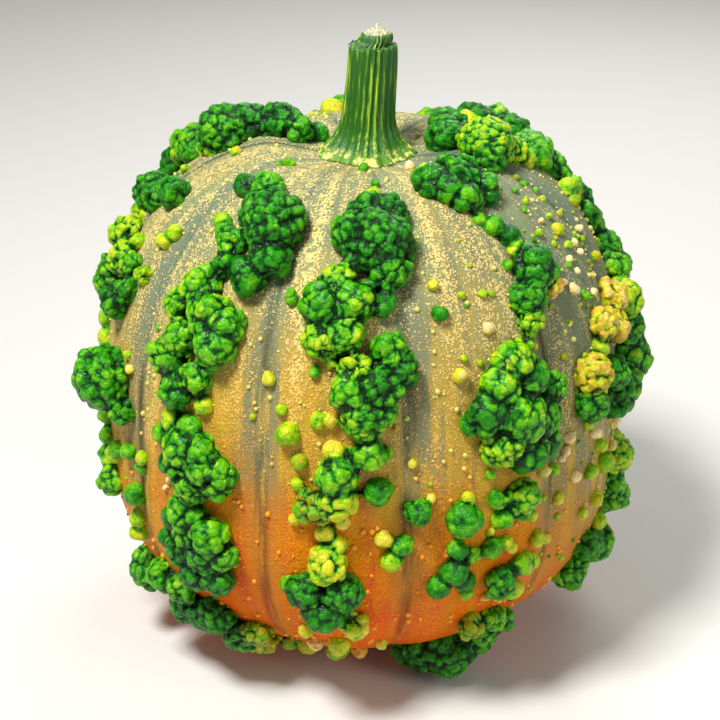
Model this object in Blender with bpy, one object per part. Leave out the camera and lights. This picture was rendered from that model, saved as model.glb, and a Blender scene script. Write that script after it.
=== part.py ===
"""Warty winter squash, as picked: one ribbed fruit covered in lobed warts, and its cut stem.

Metres, +Z up. The origin is the middle of the flat spot that the fruit rests on. A place on the
fruit is a longitude (0 faces -Y, positive towards +X) and a latitude (0 at the widest level,
positive towards the stem), both in degrees, seen from the middle of the widest level.
"""

import math
import random

import bmesh
import bpy
from mathutils import Vector

MM = 0.001

# Fruit
FRUIT_RADIUS = 120 * MM
CROWN_RISE = 143 * MM  # widest level up to the crown
BASE_DROP = 94 * MM  # widest level down to the blossom end, before the resting spot is cut
CROWN_SQUARENESS = 2.85  # 2 is an ellipse, more has broader shoulders
BASE_SQUARENESS = 2.25
RESTING_CUT = 2.2 * MM  # taken off the blossom end, which leaves a flat spot about 64 mm wide
WIDEST_HEIGHT = BASE_DROP - RESTING_CUT

# Ribs: the longitudes of the furrows between them, and how deep a furrow is
FURROWS = (-160, -127, -92, -56, -21, 9, 43, 77, 110, 142, 171)
FURROW_DEPTH = 2.8 * MM
FURROW_DEPTH_AT_CROWN = 5.5 * MM
CROWN_FURROW_LATITUDES = (20, 70)  # where a furrow deepens from the first depth to the second
COLUMNS_PER_RIB = 10
SKIN_ROWS = 56

# Hollow in the crown, where the stem sits
STEM_X = 3 * MM
SEAT_HEIGHT = WIDEST_HEIGHT + CROWN_RISE - 7.5 * MM
SEAT_RADIUS = 20 * MM
HOLLOW_RADIUS = 52 * MM
SEAT_CUT_RADIUS = 25 * MM
SEAT_GAP = 0.3 * MM

# Stem
STEM_RADIUS = 10.8 * MM
STEM_TAPER = 1.4 * MM  # how much thicker the shaft is above the foot than at the top
FOOT_RADIUS = 21.5 * MM
FOOT_FLARE_HEIGHT = 6.5 * MM
STEM_LENGTH = 48 * MM  # seat up to where the outer ridges end
STEM_LEAN = 2.6 * MM  # how far the top stands to the right of the foot
STEM_RIDGES = 9
RIDGE_HEIGHT = 1.5 * MM
COLUMNS_PER_RIDGE = 5
TORN_TIP_RISE = 10 * MM
TORN_TIP_LEAN = 1.6 * MM

# Warts: a knob has a core, and from LOBED_FROM up a ring of lobes round a top one
KNOB_RAISE = 0.4  # how far a knob's middle stands above the skin, in its own radii
LOBED_FROM = 6.2 * MM
LOBED_SWELL = 1.1  # how much more room a lobed knob takes than the round one that the list gives
LOBES = 5
CORE_SHARE = 0.8
LOBE_SHARE = (0.4, 0.52)
LOBE_REACH = 0.6
LOBE_TILT = 62
SHAPE_SEED = 5

# Surface of the fruit once the knobs are fused into it
FUSING_VOXEL = 1.6 * MM
FRUIT_TRIANGLES = 11200

# Wart clusters that show from the front: knobs as (longitude, latitude, radius in mm)
SHOWN_CLUSTERS = {
    "ridge_left_top": (
        (-104.5, 65, 12.5), (-110, 69, 10), (-113, 73.5, 9.5), (-112, 77, 8), (-128, 79, 6),
        (-99, 62.5, 5), (-105, 60, 4.5), (-96, 56.5, 3), (-84, 67.5, 3.2),
    ),
    "shoulder_left": (
        (-87, 51.5, 9.5), (-74, 55.5, 7.5), (-84, 52.5, 7.5), (-61, 51, 4.4), (-62.5, 49, 4.4),
        (-75, 45.5, 4.5), (-84, 44, 8.5), (-76, 41.5, 7.5), (-69, 42.5, 5), (-63, 42.5, 4.3),
        (-80, 38.5, 8), (-82, 35.5, 8), (-90, 32, 8.5), (-67, 38.5, 5.8), (-70, 35.5, 8),
        (-86, 26.5, 5.5), (-84, 23, 5),
    ),
    "crown_left": (
        (-48, 64, 6.5), (-37, 64.5, 7.5), (-27, 58, 13), (-34, 60, 8), (-45, 56.5, 5),
        (-41.5, 55, 5.5), (-37, 53.5, 6.5), (-24.5, 52, 9), (-28.5, 49, 8.2), (-36, 50, 5.5),
        (-48, 73, 3), (-52, 71.5, 2), (-17, 47, 3.8),
    ),
    "front_left_upper": (
        (-40, 46, 8.5), (-35, 42, 9.5), (-30.5, 41, 7.5), (-45, 42, 7), (-32, 37.5, 9),
        (-41.5, 37, 8), (-44, 33.5, 8.5), (-36, 31.5, 7.5), (-40.5, 28, 8), (-34, 27, 4.7),
    ),
    "front_left_middle": (
        (-42, 22, 6), (-44.5, 18.5, 6), (-37, 22, 6.5), (-38, 18, 8.5), (-33, 18.5, 7.5),
        (-39.5, 14.5, 8), (-32.5, 15, 8.5), (-28.5, 15, 6.5), (-35.5, 11, 8.5), (-30, 12, 6.5),
    ),
    "front_left_lower": (
        (-37, 4, 8.5), (-42, 0.5, 6.5), (-37, -1, 7.5), (-31.5, 0.5, 9), (-44, -5, 6), (-39, -5, 8),
        (-33.5, -5, 8), (-28.5, -4, 6.5), (-36.5, -10.5, 8), (-31, -10, 7.5),
    ),
    "foot_left": (
        (-66, -26, 10.5), (-52, -20, 8.5), (-48, -27, 8.5), (-42, -27, 8.5), (-45, -20, 7),
        (-36, -24, 8.5), (-50, -30, 9.5), (-33, -31, 9), (-29, -36, 7.5), (-27, -28, 6.5),
        (-23, -40, 5), (-17, -40, 5),
    ),
    "side_left": (
        (-67, 21.5, 14), (-61, 17, 6.5), (-60.5, 25.5, 3.3), (-62, 28, 2.6), (-75, 4.5, 5.2),
        (-84, 6, 4.5), (-76, 9, 5), (-66, 5.5, 4.5), (-69, 3, 5), (-54, 9, 4), (-55, 6, 4),
        (-60, 8, 4.7), (-73, -1.5, 5.2), (-70, -4, 7), (-77, -1, 6), (-58, -1.5, 6.4), (-59, -8, 5),
        (-60, -12, 5.5), (-43.5, 8.5, 2.2), (-45, 6, 2),
    ),
    "front_top": (
        (4, 56, 12.5), (-3, 58, 9), (1, 62, 8), (7.5, 61, 8.5), (9.5, 55, 8.5), (6, 51.5, 8.5),
        (-1.5, 54, 6), (-4, 53, 3.2), (4, 67, 3.5), (5.5, 69.5, 2.6), (0, 78, 3),
    ),
    "front_upper": (
        (-2, 47, 9), (-9.5, 46.5, 9), (-6, 50, 7.5), (-4, 42, 8), (-9, 41, 7.5), (4, 46.5, 6.2),
        (-10, 36, 2.8), (-6.5, 37.5, 3.5), (-20, 33.5, 3.6),
    ),
    "front_middle": (
        (5, 39.5, 7.5), (7, 36, 8), (-1.5, 36.5, 7), (-2.5, 33, 8.5), (3.5, 34, 9), (0, 29, 9),
        (4.5, 30, 6), (1, 22.5, 7.5), (3.7, 22, 4.5), (2.7, 14.7, 7),
    ),
    "front_column": (
        (-9, 28, 4.3), (-6.5, 28, 4), (-15, 25, 6), (-16.5, 29, 3), (-12.5, 20, 4.2),
        (-13, 15.5, 3.3), (-5.5, 22.5, 5.7), (-5, 18.5, 9), (-5, 13.5, 8.5), (-10, 11.5, 7),
        (-8, 9.5, 5), (-13.5, 8, 3.3), (-4, 8, 3.8), (-7.5, 5.5, 5), (-5, 3, 5), (-7, -1, 8.5),
    ),
    "front_foot": (
        (-11.5, -8, 8), (-4, -7.5, 8.5), (-8, -13, 9.5), (-15, -8, 5), (-2, -17, 7),
        (-13, -23, 4.3), (-12, -30, 4.3), (-6, -29, 6), (-8, -41, 5.5), (-1, -42, 4.3),
        (4.5, -30, 3.5),
    ),
    "front_right_pearls": (
        (4, 4, 4.5), (7.5, 2, 5.7), (5.5, -1, 5.7), (11, 9.5, 6), (13.5, 12, 2.8), (16.8, 49, 3),
        (17.5, 44.5, 4), (20, 34.5, 3.8), (21.5, 37, 2.2), (25, 36, 2), (28, 41, 3.4),
        (29, 46.5, 2.3), (23.5, 47, 2), (6.5, 26.5, 2), (10, 19.5, 2.6),
    ),
    "big_right": (
        (37, 36.5, 4.2), (39, 36, 3), (32, 35, 9), (28, 31.5, 8.5), (35.5, 32, 8.5),
        (41.5, 28, 7.5), (25, 27.5, 9), (31.5, 26, 11.5), (37, 23.5, 9), (27.5, 21, 9),
        (33.5, 19, 9.5), (38.5, 18.5, 7.5), (22, 26, 6), (41, 24, 6),
    ),
    "shoulder_right": (
        (41, 56, 5.5), (45, 53.5, 5.5), (38, 58, 3.5), (45, 52, 4.5), (39, 49.5, 3),
        (46.5, 47.5, 9), (44, 51, 4), (40, 43.5, 8), (48.5, 44, 5.5), (39, 40, 6.2),
    ),
    "crown_right": (
        (29, 67.5, 7.5), (35, 65, 8.5), (44, 66, 9), (40, 65.5, 9), (49, 63, 7.5), (45, 69, 7),
        (37, 62.5, 7.5), (42, 60.5, 4), (35, 76, 3), (38, 73, 3),
    ),
    "ridge_right_top": (
        (80, 68, 12), (93, 75, 9.5), (115, 73, 8), (88, 64, 7), (90, 61, 5), (70, 67, 7.5),
        (104, 73, 8),
    ),
    "ridge_back_right": (
        (131, 64, 6.5), (123, 62.5, 6), (119, 60.5, 4.5), (115, 59, 4.5), (110, 57.5, 4.5),
        (105, 56, 4.8), (104, 54, 4.6), (103, 52, 4.6), (103, 49, 5), (94, 51.5, 5.5), (98, 49, 5),
        (90, 50, 3.3), (80, 41, 3.2), (-165, 67, 6),
    ),
    "side_right": (
        (75, 34.5, 8), (85, 30.5, 10), (63, 33.5, 7.5), (71, 30, 7.5), (85, 24.5, 9.5),
        (61, 29.5, 5.5), (54.5, 27, 9), (53.5, 21.5, 8), (84, 18.5, 11), (79, 15, 9.5),
        (65, 23.5, 8), (67, 16, 7), (76, 12, 7),
    ),
    "side_right_pearls": (
        (62, 60.5, 2.2), (70, 60, 2.2), (73, 57.5, 2), (61, 58, 2), (57, 57, 2), (65, 53.5, 2.5),
        (60, 54, 2.2), (55, 52.5, 2.3), (64, 51, 3.4), (79, 47, 2.5), (64, 48, 2.6),
        (68, 47.5, 2.3), (68, 45.5, 2.2), (61, 46, 2.2), (53, 46.5, 2.6), (62, 43.5, 2.2),
        (54, 43.5, 2.4), (57, 41.5, 3.3), (61, 39.5, 3), (66, 38.5, 2.6), (70, 40.5, 2.2),
        (48, 16, 3.3), (54.5, 16.5, 3.5), (57.5, 13.5, 3.7), (60, 9.5, 4.2), (71, 9.5, 3.6),
        (47, 13.5, 2.9), (46, 12, 2.4), (50, 6.5, 3.6), (56, 5, 4.2),
    ),
    "side_right_lower": (
        (63, 4, 5.8), (76, -1, 8.5), (70, 4.5, 3.4), (76, -8, 7.5), (79, -12, 9.5), (60, -3.5, 4.3),
        (67, -13, 5), (54, -4, 3.8), (60, -15.5, 7), (68, -19, 9.5), (61, -25, 8.5), (66, -27, 8),
    ),
    "front_right_lower": (
        (20, 7, 9), (21, 11, 3.7), (27.5, 9.5, 5.2), (33, 9, 7.8), (34, 5, 5.5), (29, 5, 5.7),
        (38, 7, 3.3), (41, 5, 2.5), (45.5, 3, 3.5), (37, 2.5, 3), (40, 11.5, 4), (43.5, 10.5, 3.7),
        (26, 15, 3.2), (26.5, 2, 2.5), (26.5, -1.5, 5.5), (30, -1, 3.8), (31.5, -3, 3.3),
        (19, 0, 5.3), (18.5, -5, 7), (15.5, -8.5, 6.2), (21, -8, 5.5), (22.5, -2, 4.4),
        (22, -12, 3.7),
    ),
    "foot_right": (
        (29, -10, 7.5), (34.5, -8, 6.2), (38.5, -3.5, 4.5), (43, -6, 3), (38, -9, 4.4),
        (34, -15, 5.4), (27, -15, 3), (31, -17, 3), (25, -23, 6.5), (31, -23, 6.5),
        (35.5, -27, 6.5), (31, -29, 7.5), (19, -42.5, 9.5), (26, -40, 12.5), (34, -36.5, 8.5),
        (14.5, -44, 6.5),
    ),
}

# Far side: clusters down the crests of its ribs by a seeded rule, and single knobs between them
FAR_SEED = 11
FAR_CRESTS = (-176, -144, -110, 101, 127, 157)
FAR_TOP_LATITUDES = (50, 58)
FAR_LOWEST_LATITUDE = -32
FAR_STEP = (11, 17)
FAR_KNOB_RADIUS = (7.5, 11)
FAR_SINGLES = 46


def smoothstep(value, low, high):
    share = min(1.0, max(0.0, (value - low) / (high - low)))
    return share * share * (3 - 2 * share)


def plain_reach(latitude):
    """Distance from the middle of the widest level to the skin, without ribs."""
    above = latitude > 0
    rise = CROWN_RISE if above else BASE_DROP
    squareness = CROWN_SQUARENESS if above else BASE_SQUARENESS
    outward = abs(math.cos(latitude)) / FRUIT_RADIUS
    upward = abs(math.sin(latitude)) / rise
    return (outward**squareness + upward**squareness) ** (-1 / squareness)


def share_across_rib(longitude):
    """0 at a rib's left furrow, 1 at its right one."""
    longitude = (longitude + 180) % 360 - 180
    left = max((f for f in FURROWS if f <= longitude), default=FURROWS[-1] - 360)
    right = min((f for f in FURROWS if f > longitude), default=FURROWS[0] + 360)
    return (longitude - left) / (right - left)


def furrow_depth(longitude, latitude):
    """How far the skin lies inside the level of the rib crests."""
    crest = 1 - (1 - math.sin(math.pi * share_across_rib(longitude))) ** 2
    towards_crown = smoothstep(latitude, *CROWN_FURROW_LATITUDES)
    deepest = FURROW_DEPTH + (FURROW_DEPTH_AT_CROWN - FURROW_DEPTH) * towards_crown
    return deepest * (1 - crest) * abs(math.cos(math.radians(latitude))) ** 0.5


def skin_point(longitude, latitude):
    """The place on the ribbed skin at a longitude and a latitude."""
    lon = math.radians(longitude)
    lat = math.radians(latitude)
    reach = plain_reach(lat)
    outward = max(0.0, reach * math.cos(lat) - furrow_depth(longitude, latitude))
    x = outward * math.sin(lon)
    y = -outward * math.cos(lon)
    z = WIDEST_HEIGHT + reach * math.sin(lat)
    if latitude > 0:
        rim = smoothstep(math.hypot(x - STEM_X, y), SEAT_RADIUS, HOLLOW_RADIUS)
        z = SEAT_HEIGHT + (z - SEAT_HEIGHT) * rim
    return Vector((x, y, z))


def skin_directions(longitude, latitude):
    """The outward, eastward and northward directions on the skin there."""
    step = 1.5
    east = skin_point(longitude + step, latitude) - skin_point(longitude - step, latitude)
    north = skin_point(longitude, latitude + step) - skin_point(longitude, latitude - step)
    outward = east.cross(north).normalized()
    return outward, east.normalized(), outward.cross(east).normalized()


def far_clusters():
    """The far side's knobs, as (longitude, latitude, radius in mm)."""
    draw = random.Random(FAR_SEED)
    knobs = []
    for crest in FAR_CRESTS:
        latitude = draw.uniform(*FAR_TOP_LATITUDES)
        while latitude > FAR_LOWEST_LATITUDE:
            knobs += far_cluster(draw, crest + draw.uniform(-5, 5), latitude)
            latitude -= draw.uniform(*FAR_STEP)
    for _ in range(FAR_SINGLES):
        knobs.append((draw.uniform(100, 258), draw.uniform(-35, 62), draw.uniform(2.6, 4.6)))
    return knobs


def far_cluster(draw, longitude, latitude):
    """A main knob with four to six smaller ones round it."""
    radius = draw.uniform(*FAR_KNOB_RADIUS)
    knobs = [(longitude, latitude, radius)]
    around = draw.randint(4, 6)
    for k in range(around):
        angle = 2 * math.pi * (k + draw.uniform(-0.25, 0.25)) / around
        spread = draw.uniform(3.4, 6)
        beside = spread * math.cos(angle) / math.cos(math.radians(latitude))
        above = spread * math.sin(angle)
        knobs.append((longitude + beside, latitude + above, radius * draw.uniform(0.55, 0.95)))
    return knobs


class Net:
    """Points and faces gathered from closed shapes that overlap until they are fused."""

    def __init__(self):
        self.points = []
        self.faces = []

    def add(self, points, faces):
        start = len(self.points)
        self.points += points
        self.faces += [[start + k for k in face] for face in faces]

    def object(self, name, material):
        data = bpy.data.meshes.new(name)
        data.from_pydata(self.points, [], self.faces)
        made = bpy.data.objects.new(name, data)
        bpy.context.scene.collection.objects.link(made)
        if material:
            data.materials.append(material)
        return made


def unit_ball():
    """Points and faces of a ball of radius 1."""
    mesh = bmesh.new()
    bmesh.ops.create_icosphere(mesh, subdivisions=2, radius=1)
    points = [vert.co.copy() for vert in mesh.verts]
    faces = [[vert.index for vert in face.verts] for face in mesh.faces]
    mesh.free()
    return points, faces


def band_faces(count, rows):
    """Faces between rows of count points each, wound to face outwards when the rows go upwards."""
    faces = []
    for row in range(rows - 1):
        for k in range(count):
            after = (k + 1) % count
            low = row * count
            high = low + count
            faces.append([low + k, low + after, high + after, high + k])
    return faces


def add_skin(net):
    """The ribbed skin as one closed shape of rows and columns, with a point at each pole."""
    longitudes = []
    for left, right in zip(FURROWS, FURROWS[1:] + (FURROWS[0] + 360,)):
        longitudes += [left + (right - left) * k / COLUMNS_PER_RIB for k in range(COLUMNS_PER_RIB)]
    latitudes = [-90 + 180 * row / SKIN_ROWS for row in range(1, SKIN_ROWS)]
    points = [skin_point(lon, lat) for lat in latitudes for lon in longitudes]
    count = len(longitudes)
    faces = band_faces(count, len(latitudes))
    low_pole = len(points)
    high_pole = low_pole + 1
    points += [Vector((0, 0, WIDEST_HEIGHT - BASE_DROP)), Vector((0, 0, SEAT_HEIGHT))]
    top = count * (len(latitudes) - 1)
    for k in range(count):
        after = (k + 1) % count
        faces.append([low_pole, after, k])
        faces.append([high_pole, top + k, top + after])
    net.add(points, faces)


def knob_balls(draw, longitude, latitude, radius):
    """The balls that make one wart, as (middle, radius)."""
    outward, east, north = skin_directions(longitude, latitude)
    middle = skin_point(longitude, latitude) + outward * radius * KNOB_RAISE
    if radius < LOBED_FROM:
        return [(middle, radius)]
    radius *= LOBED_SWELL
    balls = [(middle, radius * CORE_SHARE)]
    balls.append((middle + outward * radius * LOBE_REACH, radius * draw.uniform(*LOBE_SHARE)))
    turned = draw.uniform(0, 2 * math.pi)
    for k in range(LOBES):
        angle = turned + 2 * math.pi * (k + draw.uniform(-0.2, 0.2)) / LOBES
        sideways = east * math.cos(angle) + north * math.sin(angle)
        tilt = math.radians(LOBE_TILT + draw.uniform(-8, 8))
        towards = sideways * math.sin(tilt) + outward * math.cos(tilt)
        balls.append((middle + towards * radius * LOBE_REACH, radius * draw.uniform(*LOBE_SHARE)))
    return balls


def add_warts(net):
    draw = random.Random(SHAPE_SEED)
    ball_points, ball_faces = unit_ball()
    knobs = [knob for cluster in SHOWN_CLUSTERS.values() for knob in cluster] + far_clusters()
    for longitude, latitude, radius in knobs:
        for middle, size in knob_balls(draw, longitude, latitude, radius * MM):
            net.add([middle + point * size for point in ball_points], ball_faces)


def new_material(name, colour, roughness):
    material = bpy.data.materials.new(name)
    material.use_nodes = True
    shader = material.node_tree.nodes["Principled BSDF"]
    shader.inputs["Base Color"].default_value = (*colour, 1)
    shader.inputs["Roughness"].default_value = roughness
    shader.inputs["Metallic"].default_value = 0.0
    return material


def prism_cutter(name, sides, radius, bottom, top):
    """An upright prism that is only a cutter."""
    ring = [2 * math.pi * k / sides for k in range(sides)]
    points = [
        Vector((STEM_X + radius * math.cos(angle), radius * math.sin(angle), height))
        for height in (bottom, top)
        for angle in ring
    ]
    faces = band_faces(sides, 2)
    faces.append(list(reversed(range(sides))))
    faces.append(list(range(sides, 2 * sides)))
    net = Net()
    net.add(points, faces)
    cutter = net.object(name, None)
    cutter.hide_render = True
    cutter.display_type = "WIRE"
    return cutter


def triangle_count(made):
    shown = made.evaluated_get(bpy.context.evaluated_depsgraph_get())
    mesh = shown.to_mesh()
    mesh.calc_loop_triangles()
    count = len(mesh.loop_triangles)
    shown.to_mesh_clear()
    return count


def build_fruit(material):
    """Skin and warts fused into one body, with the resting spot and the stem's seat cut flat."""
    net = Net()
    add_skin(net)
    add_warts(net)
    fruit = net.object("fruit", material)
    fuse = fruit.modifiers.new("fuse", "REMESH")
    fuse.mode = "VOXEL"
    fuse.voxel_size = FUSING_VOXEL
    fuse.use_smooth_shade = True
    fused = triangle_count(fruit)
    thin = fruit.modifiers.new("thin", "DECIMATE")
    thin.ratio = FRUIT_TRIANGLES / fused
    slab = prism_cutter("resting_cutter", 4, 2 * FRUIT_RADIUS, -40 * MM, 0)
    plug = prism_cutter("seat_cutter", 40, SEAT_CUT_RADIUS, SEAT_HEIGHT, SEAT_HEIGHT + 40 * MM)
    for cutter in (slab, plug):
        cut = fruit.modifiers.new(cutter.name, "BOOLEAN")
        cut.operation = "DIFFERENCE"
        cut.object = cutter
    return fruit


def stem_radius(height):
    """Radius of the stem's crests at a height above the seat: a flared foot, then nearly straight."""
    flare = (FOOT_RADIUS - STEM_RADIUS) * math.exp(-((height / FOOT_FLARE_HEIGHT) ** 1.3))
    return STEM_RADIUS + flare + STEM_TAPER * (1 - height / STEM_LENGTH)


def stem_ring(height, radius, ridge):
    """One level of the stem: a ring of ridges round an axis that leans to the right."""
    columns = STEM_RIDGES * COLUMNS_PER_RIDGE
    middle = Vector((STEM_X + STEM_LEAN * height / STEM_LENGTH, 0, SEAT_HEIGHT + SEAT_GAP + height))
    ring = []
    for k in range(columns):
        angle = 2 * math.pi * k / columns
        crest = abs(math.cos(angle * STEM_RIDGES / 2)) ** 0.8
        reach = radius - ridge * (1 - crest)
        ring.append(middle + Vector((reach * math.sin(angle), -reach * math.cos(angle), 0)))
    return ring


def build_stem(material):
    """The cut stem: a flared foot, a ridged shaft and a torn top that rises to a peak."""
    heights = [0, 1.2 * MM, 3 * MM, 5.5 * MM, 9 * MM, 14 * MM, 22 * MM, 34 * MM, STEM_LENGTH]
    rings = [stem_ring(height, stem_radius(height), RIDGE_HEIGHT) for height in heights]
    rings.append(stem_ring(STEM_LENGTH + 3.5 * MM, 0.66 * STEM_RADIUS, 0.5 * RIDGE_HEIGHT))
    rings.append(stem_ring(STEM_LENGTH + 6.5 * MM, 0.34 * STEM_RADIUS, 0))
    count = len(rings[0])
    points = [point for ring in rings for point in ring]
    faces = band_faces(count, len(rings))
    faces.append(list(reversed(range(count))))
    tip = len(points)
    tip_x = STEM_X + STEM_LEAN + TORN_TIP_LEAN
    points.append(Vector((tip_x, 0, SEAT_HEIGHT + SEAT_GAP + STEM_LENGTH + TORN_TIP_RISE)))
    top = tip - count
    faces += [[top + k, top + (k + 1) % count, tip] for k in range(count)]
    net = Net()
    net.add(points, faces)
    stem = net.object("stem", material)
    stem.data.shade_smooth()
    return stem


def main():
    for old in list(bpy.data.objects):
        bpy.data.objects.remove(old)
    rind = new_material("rind", (0.36, 0.38, 0.16), 0.5)
    green_wood = new_material("green_wood", (0.12, 0.26, 0.03), 0.55)
    build_fruit(rind)
    build_stem(green_wood)


main()
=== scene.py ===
"""The looks of a warty winter squash: its speckled, ribbed rind, its lobed warts and its cut stem."""

import math
import random

import bmesh
import bpy
import numpy as np
from bpy.props import FloatProperty, FloatVectorProperty, IntProperty, PointerProperty
from bpy.types import Operator, Panel, PropertyGroup
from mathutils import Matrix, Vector


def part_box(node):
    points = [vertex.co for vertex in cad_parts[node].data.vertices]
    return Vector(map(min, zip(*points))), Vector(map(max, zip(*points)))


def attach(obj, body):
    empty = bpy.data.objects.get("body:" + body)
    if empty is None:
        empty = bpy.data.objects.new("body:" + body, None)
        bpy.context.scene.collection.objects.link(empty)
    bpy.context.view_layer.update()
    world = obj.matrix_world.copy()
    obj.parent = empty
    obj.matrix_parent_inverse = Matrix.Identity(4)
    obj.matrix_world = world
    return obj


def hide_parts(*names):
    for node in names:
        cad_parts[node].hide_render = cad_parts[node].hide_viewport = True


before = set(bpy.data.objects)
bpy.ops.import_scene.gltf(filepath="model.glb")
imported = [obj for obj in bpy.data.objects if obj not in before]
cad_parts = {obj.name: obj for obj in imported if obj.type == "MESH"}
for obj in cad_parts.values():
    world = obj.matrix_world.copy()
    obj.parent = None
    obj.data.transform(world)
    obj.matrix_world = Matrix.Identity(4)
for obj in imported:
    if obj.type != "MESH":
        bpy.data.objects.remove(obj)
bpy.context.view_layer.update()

bl_info = {
    "name": "Warty winter squash",
    "version": (1, 0, 0),
    "blender": (4, 5, 0),
    "location": "View3D > Sidebar > Squash",
    "description": "Builds a ribbed winter squash with lobed warts and a cut stem",
    "category": "Add Mesh",
}

MM = 0.001
FRUIT_LOW, FRUIT_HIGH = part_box("fruit")
STEM_LOW, STEM_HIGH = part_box("stem")
BODY = "root"

# Longitudes of the furrows between the ribs, in degrees: 0 faces the camera, positive to the right
FURROWS = (-160, -127, -92, -56, -21, 9, 43, 77, 110, 142, 171)

# How far down each side ripens: the latitude at which the skin there is halfway to orange
RIPENING = (
    (-180, -6), (-120, -4), (-75, 0), (-50, 4), (-24, 15), (-8, 12), (9, 8), (20, 8),
    (40, 2), (60, -12), (90, -16), (130, -8), (180, -6),
)

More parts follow.
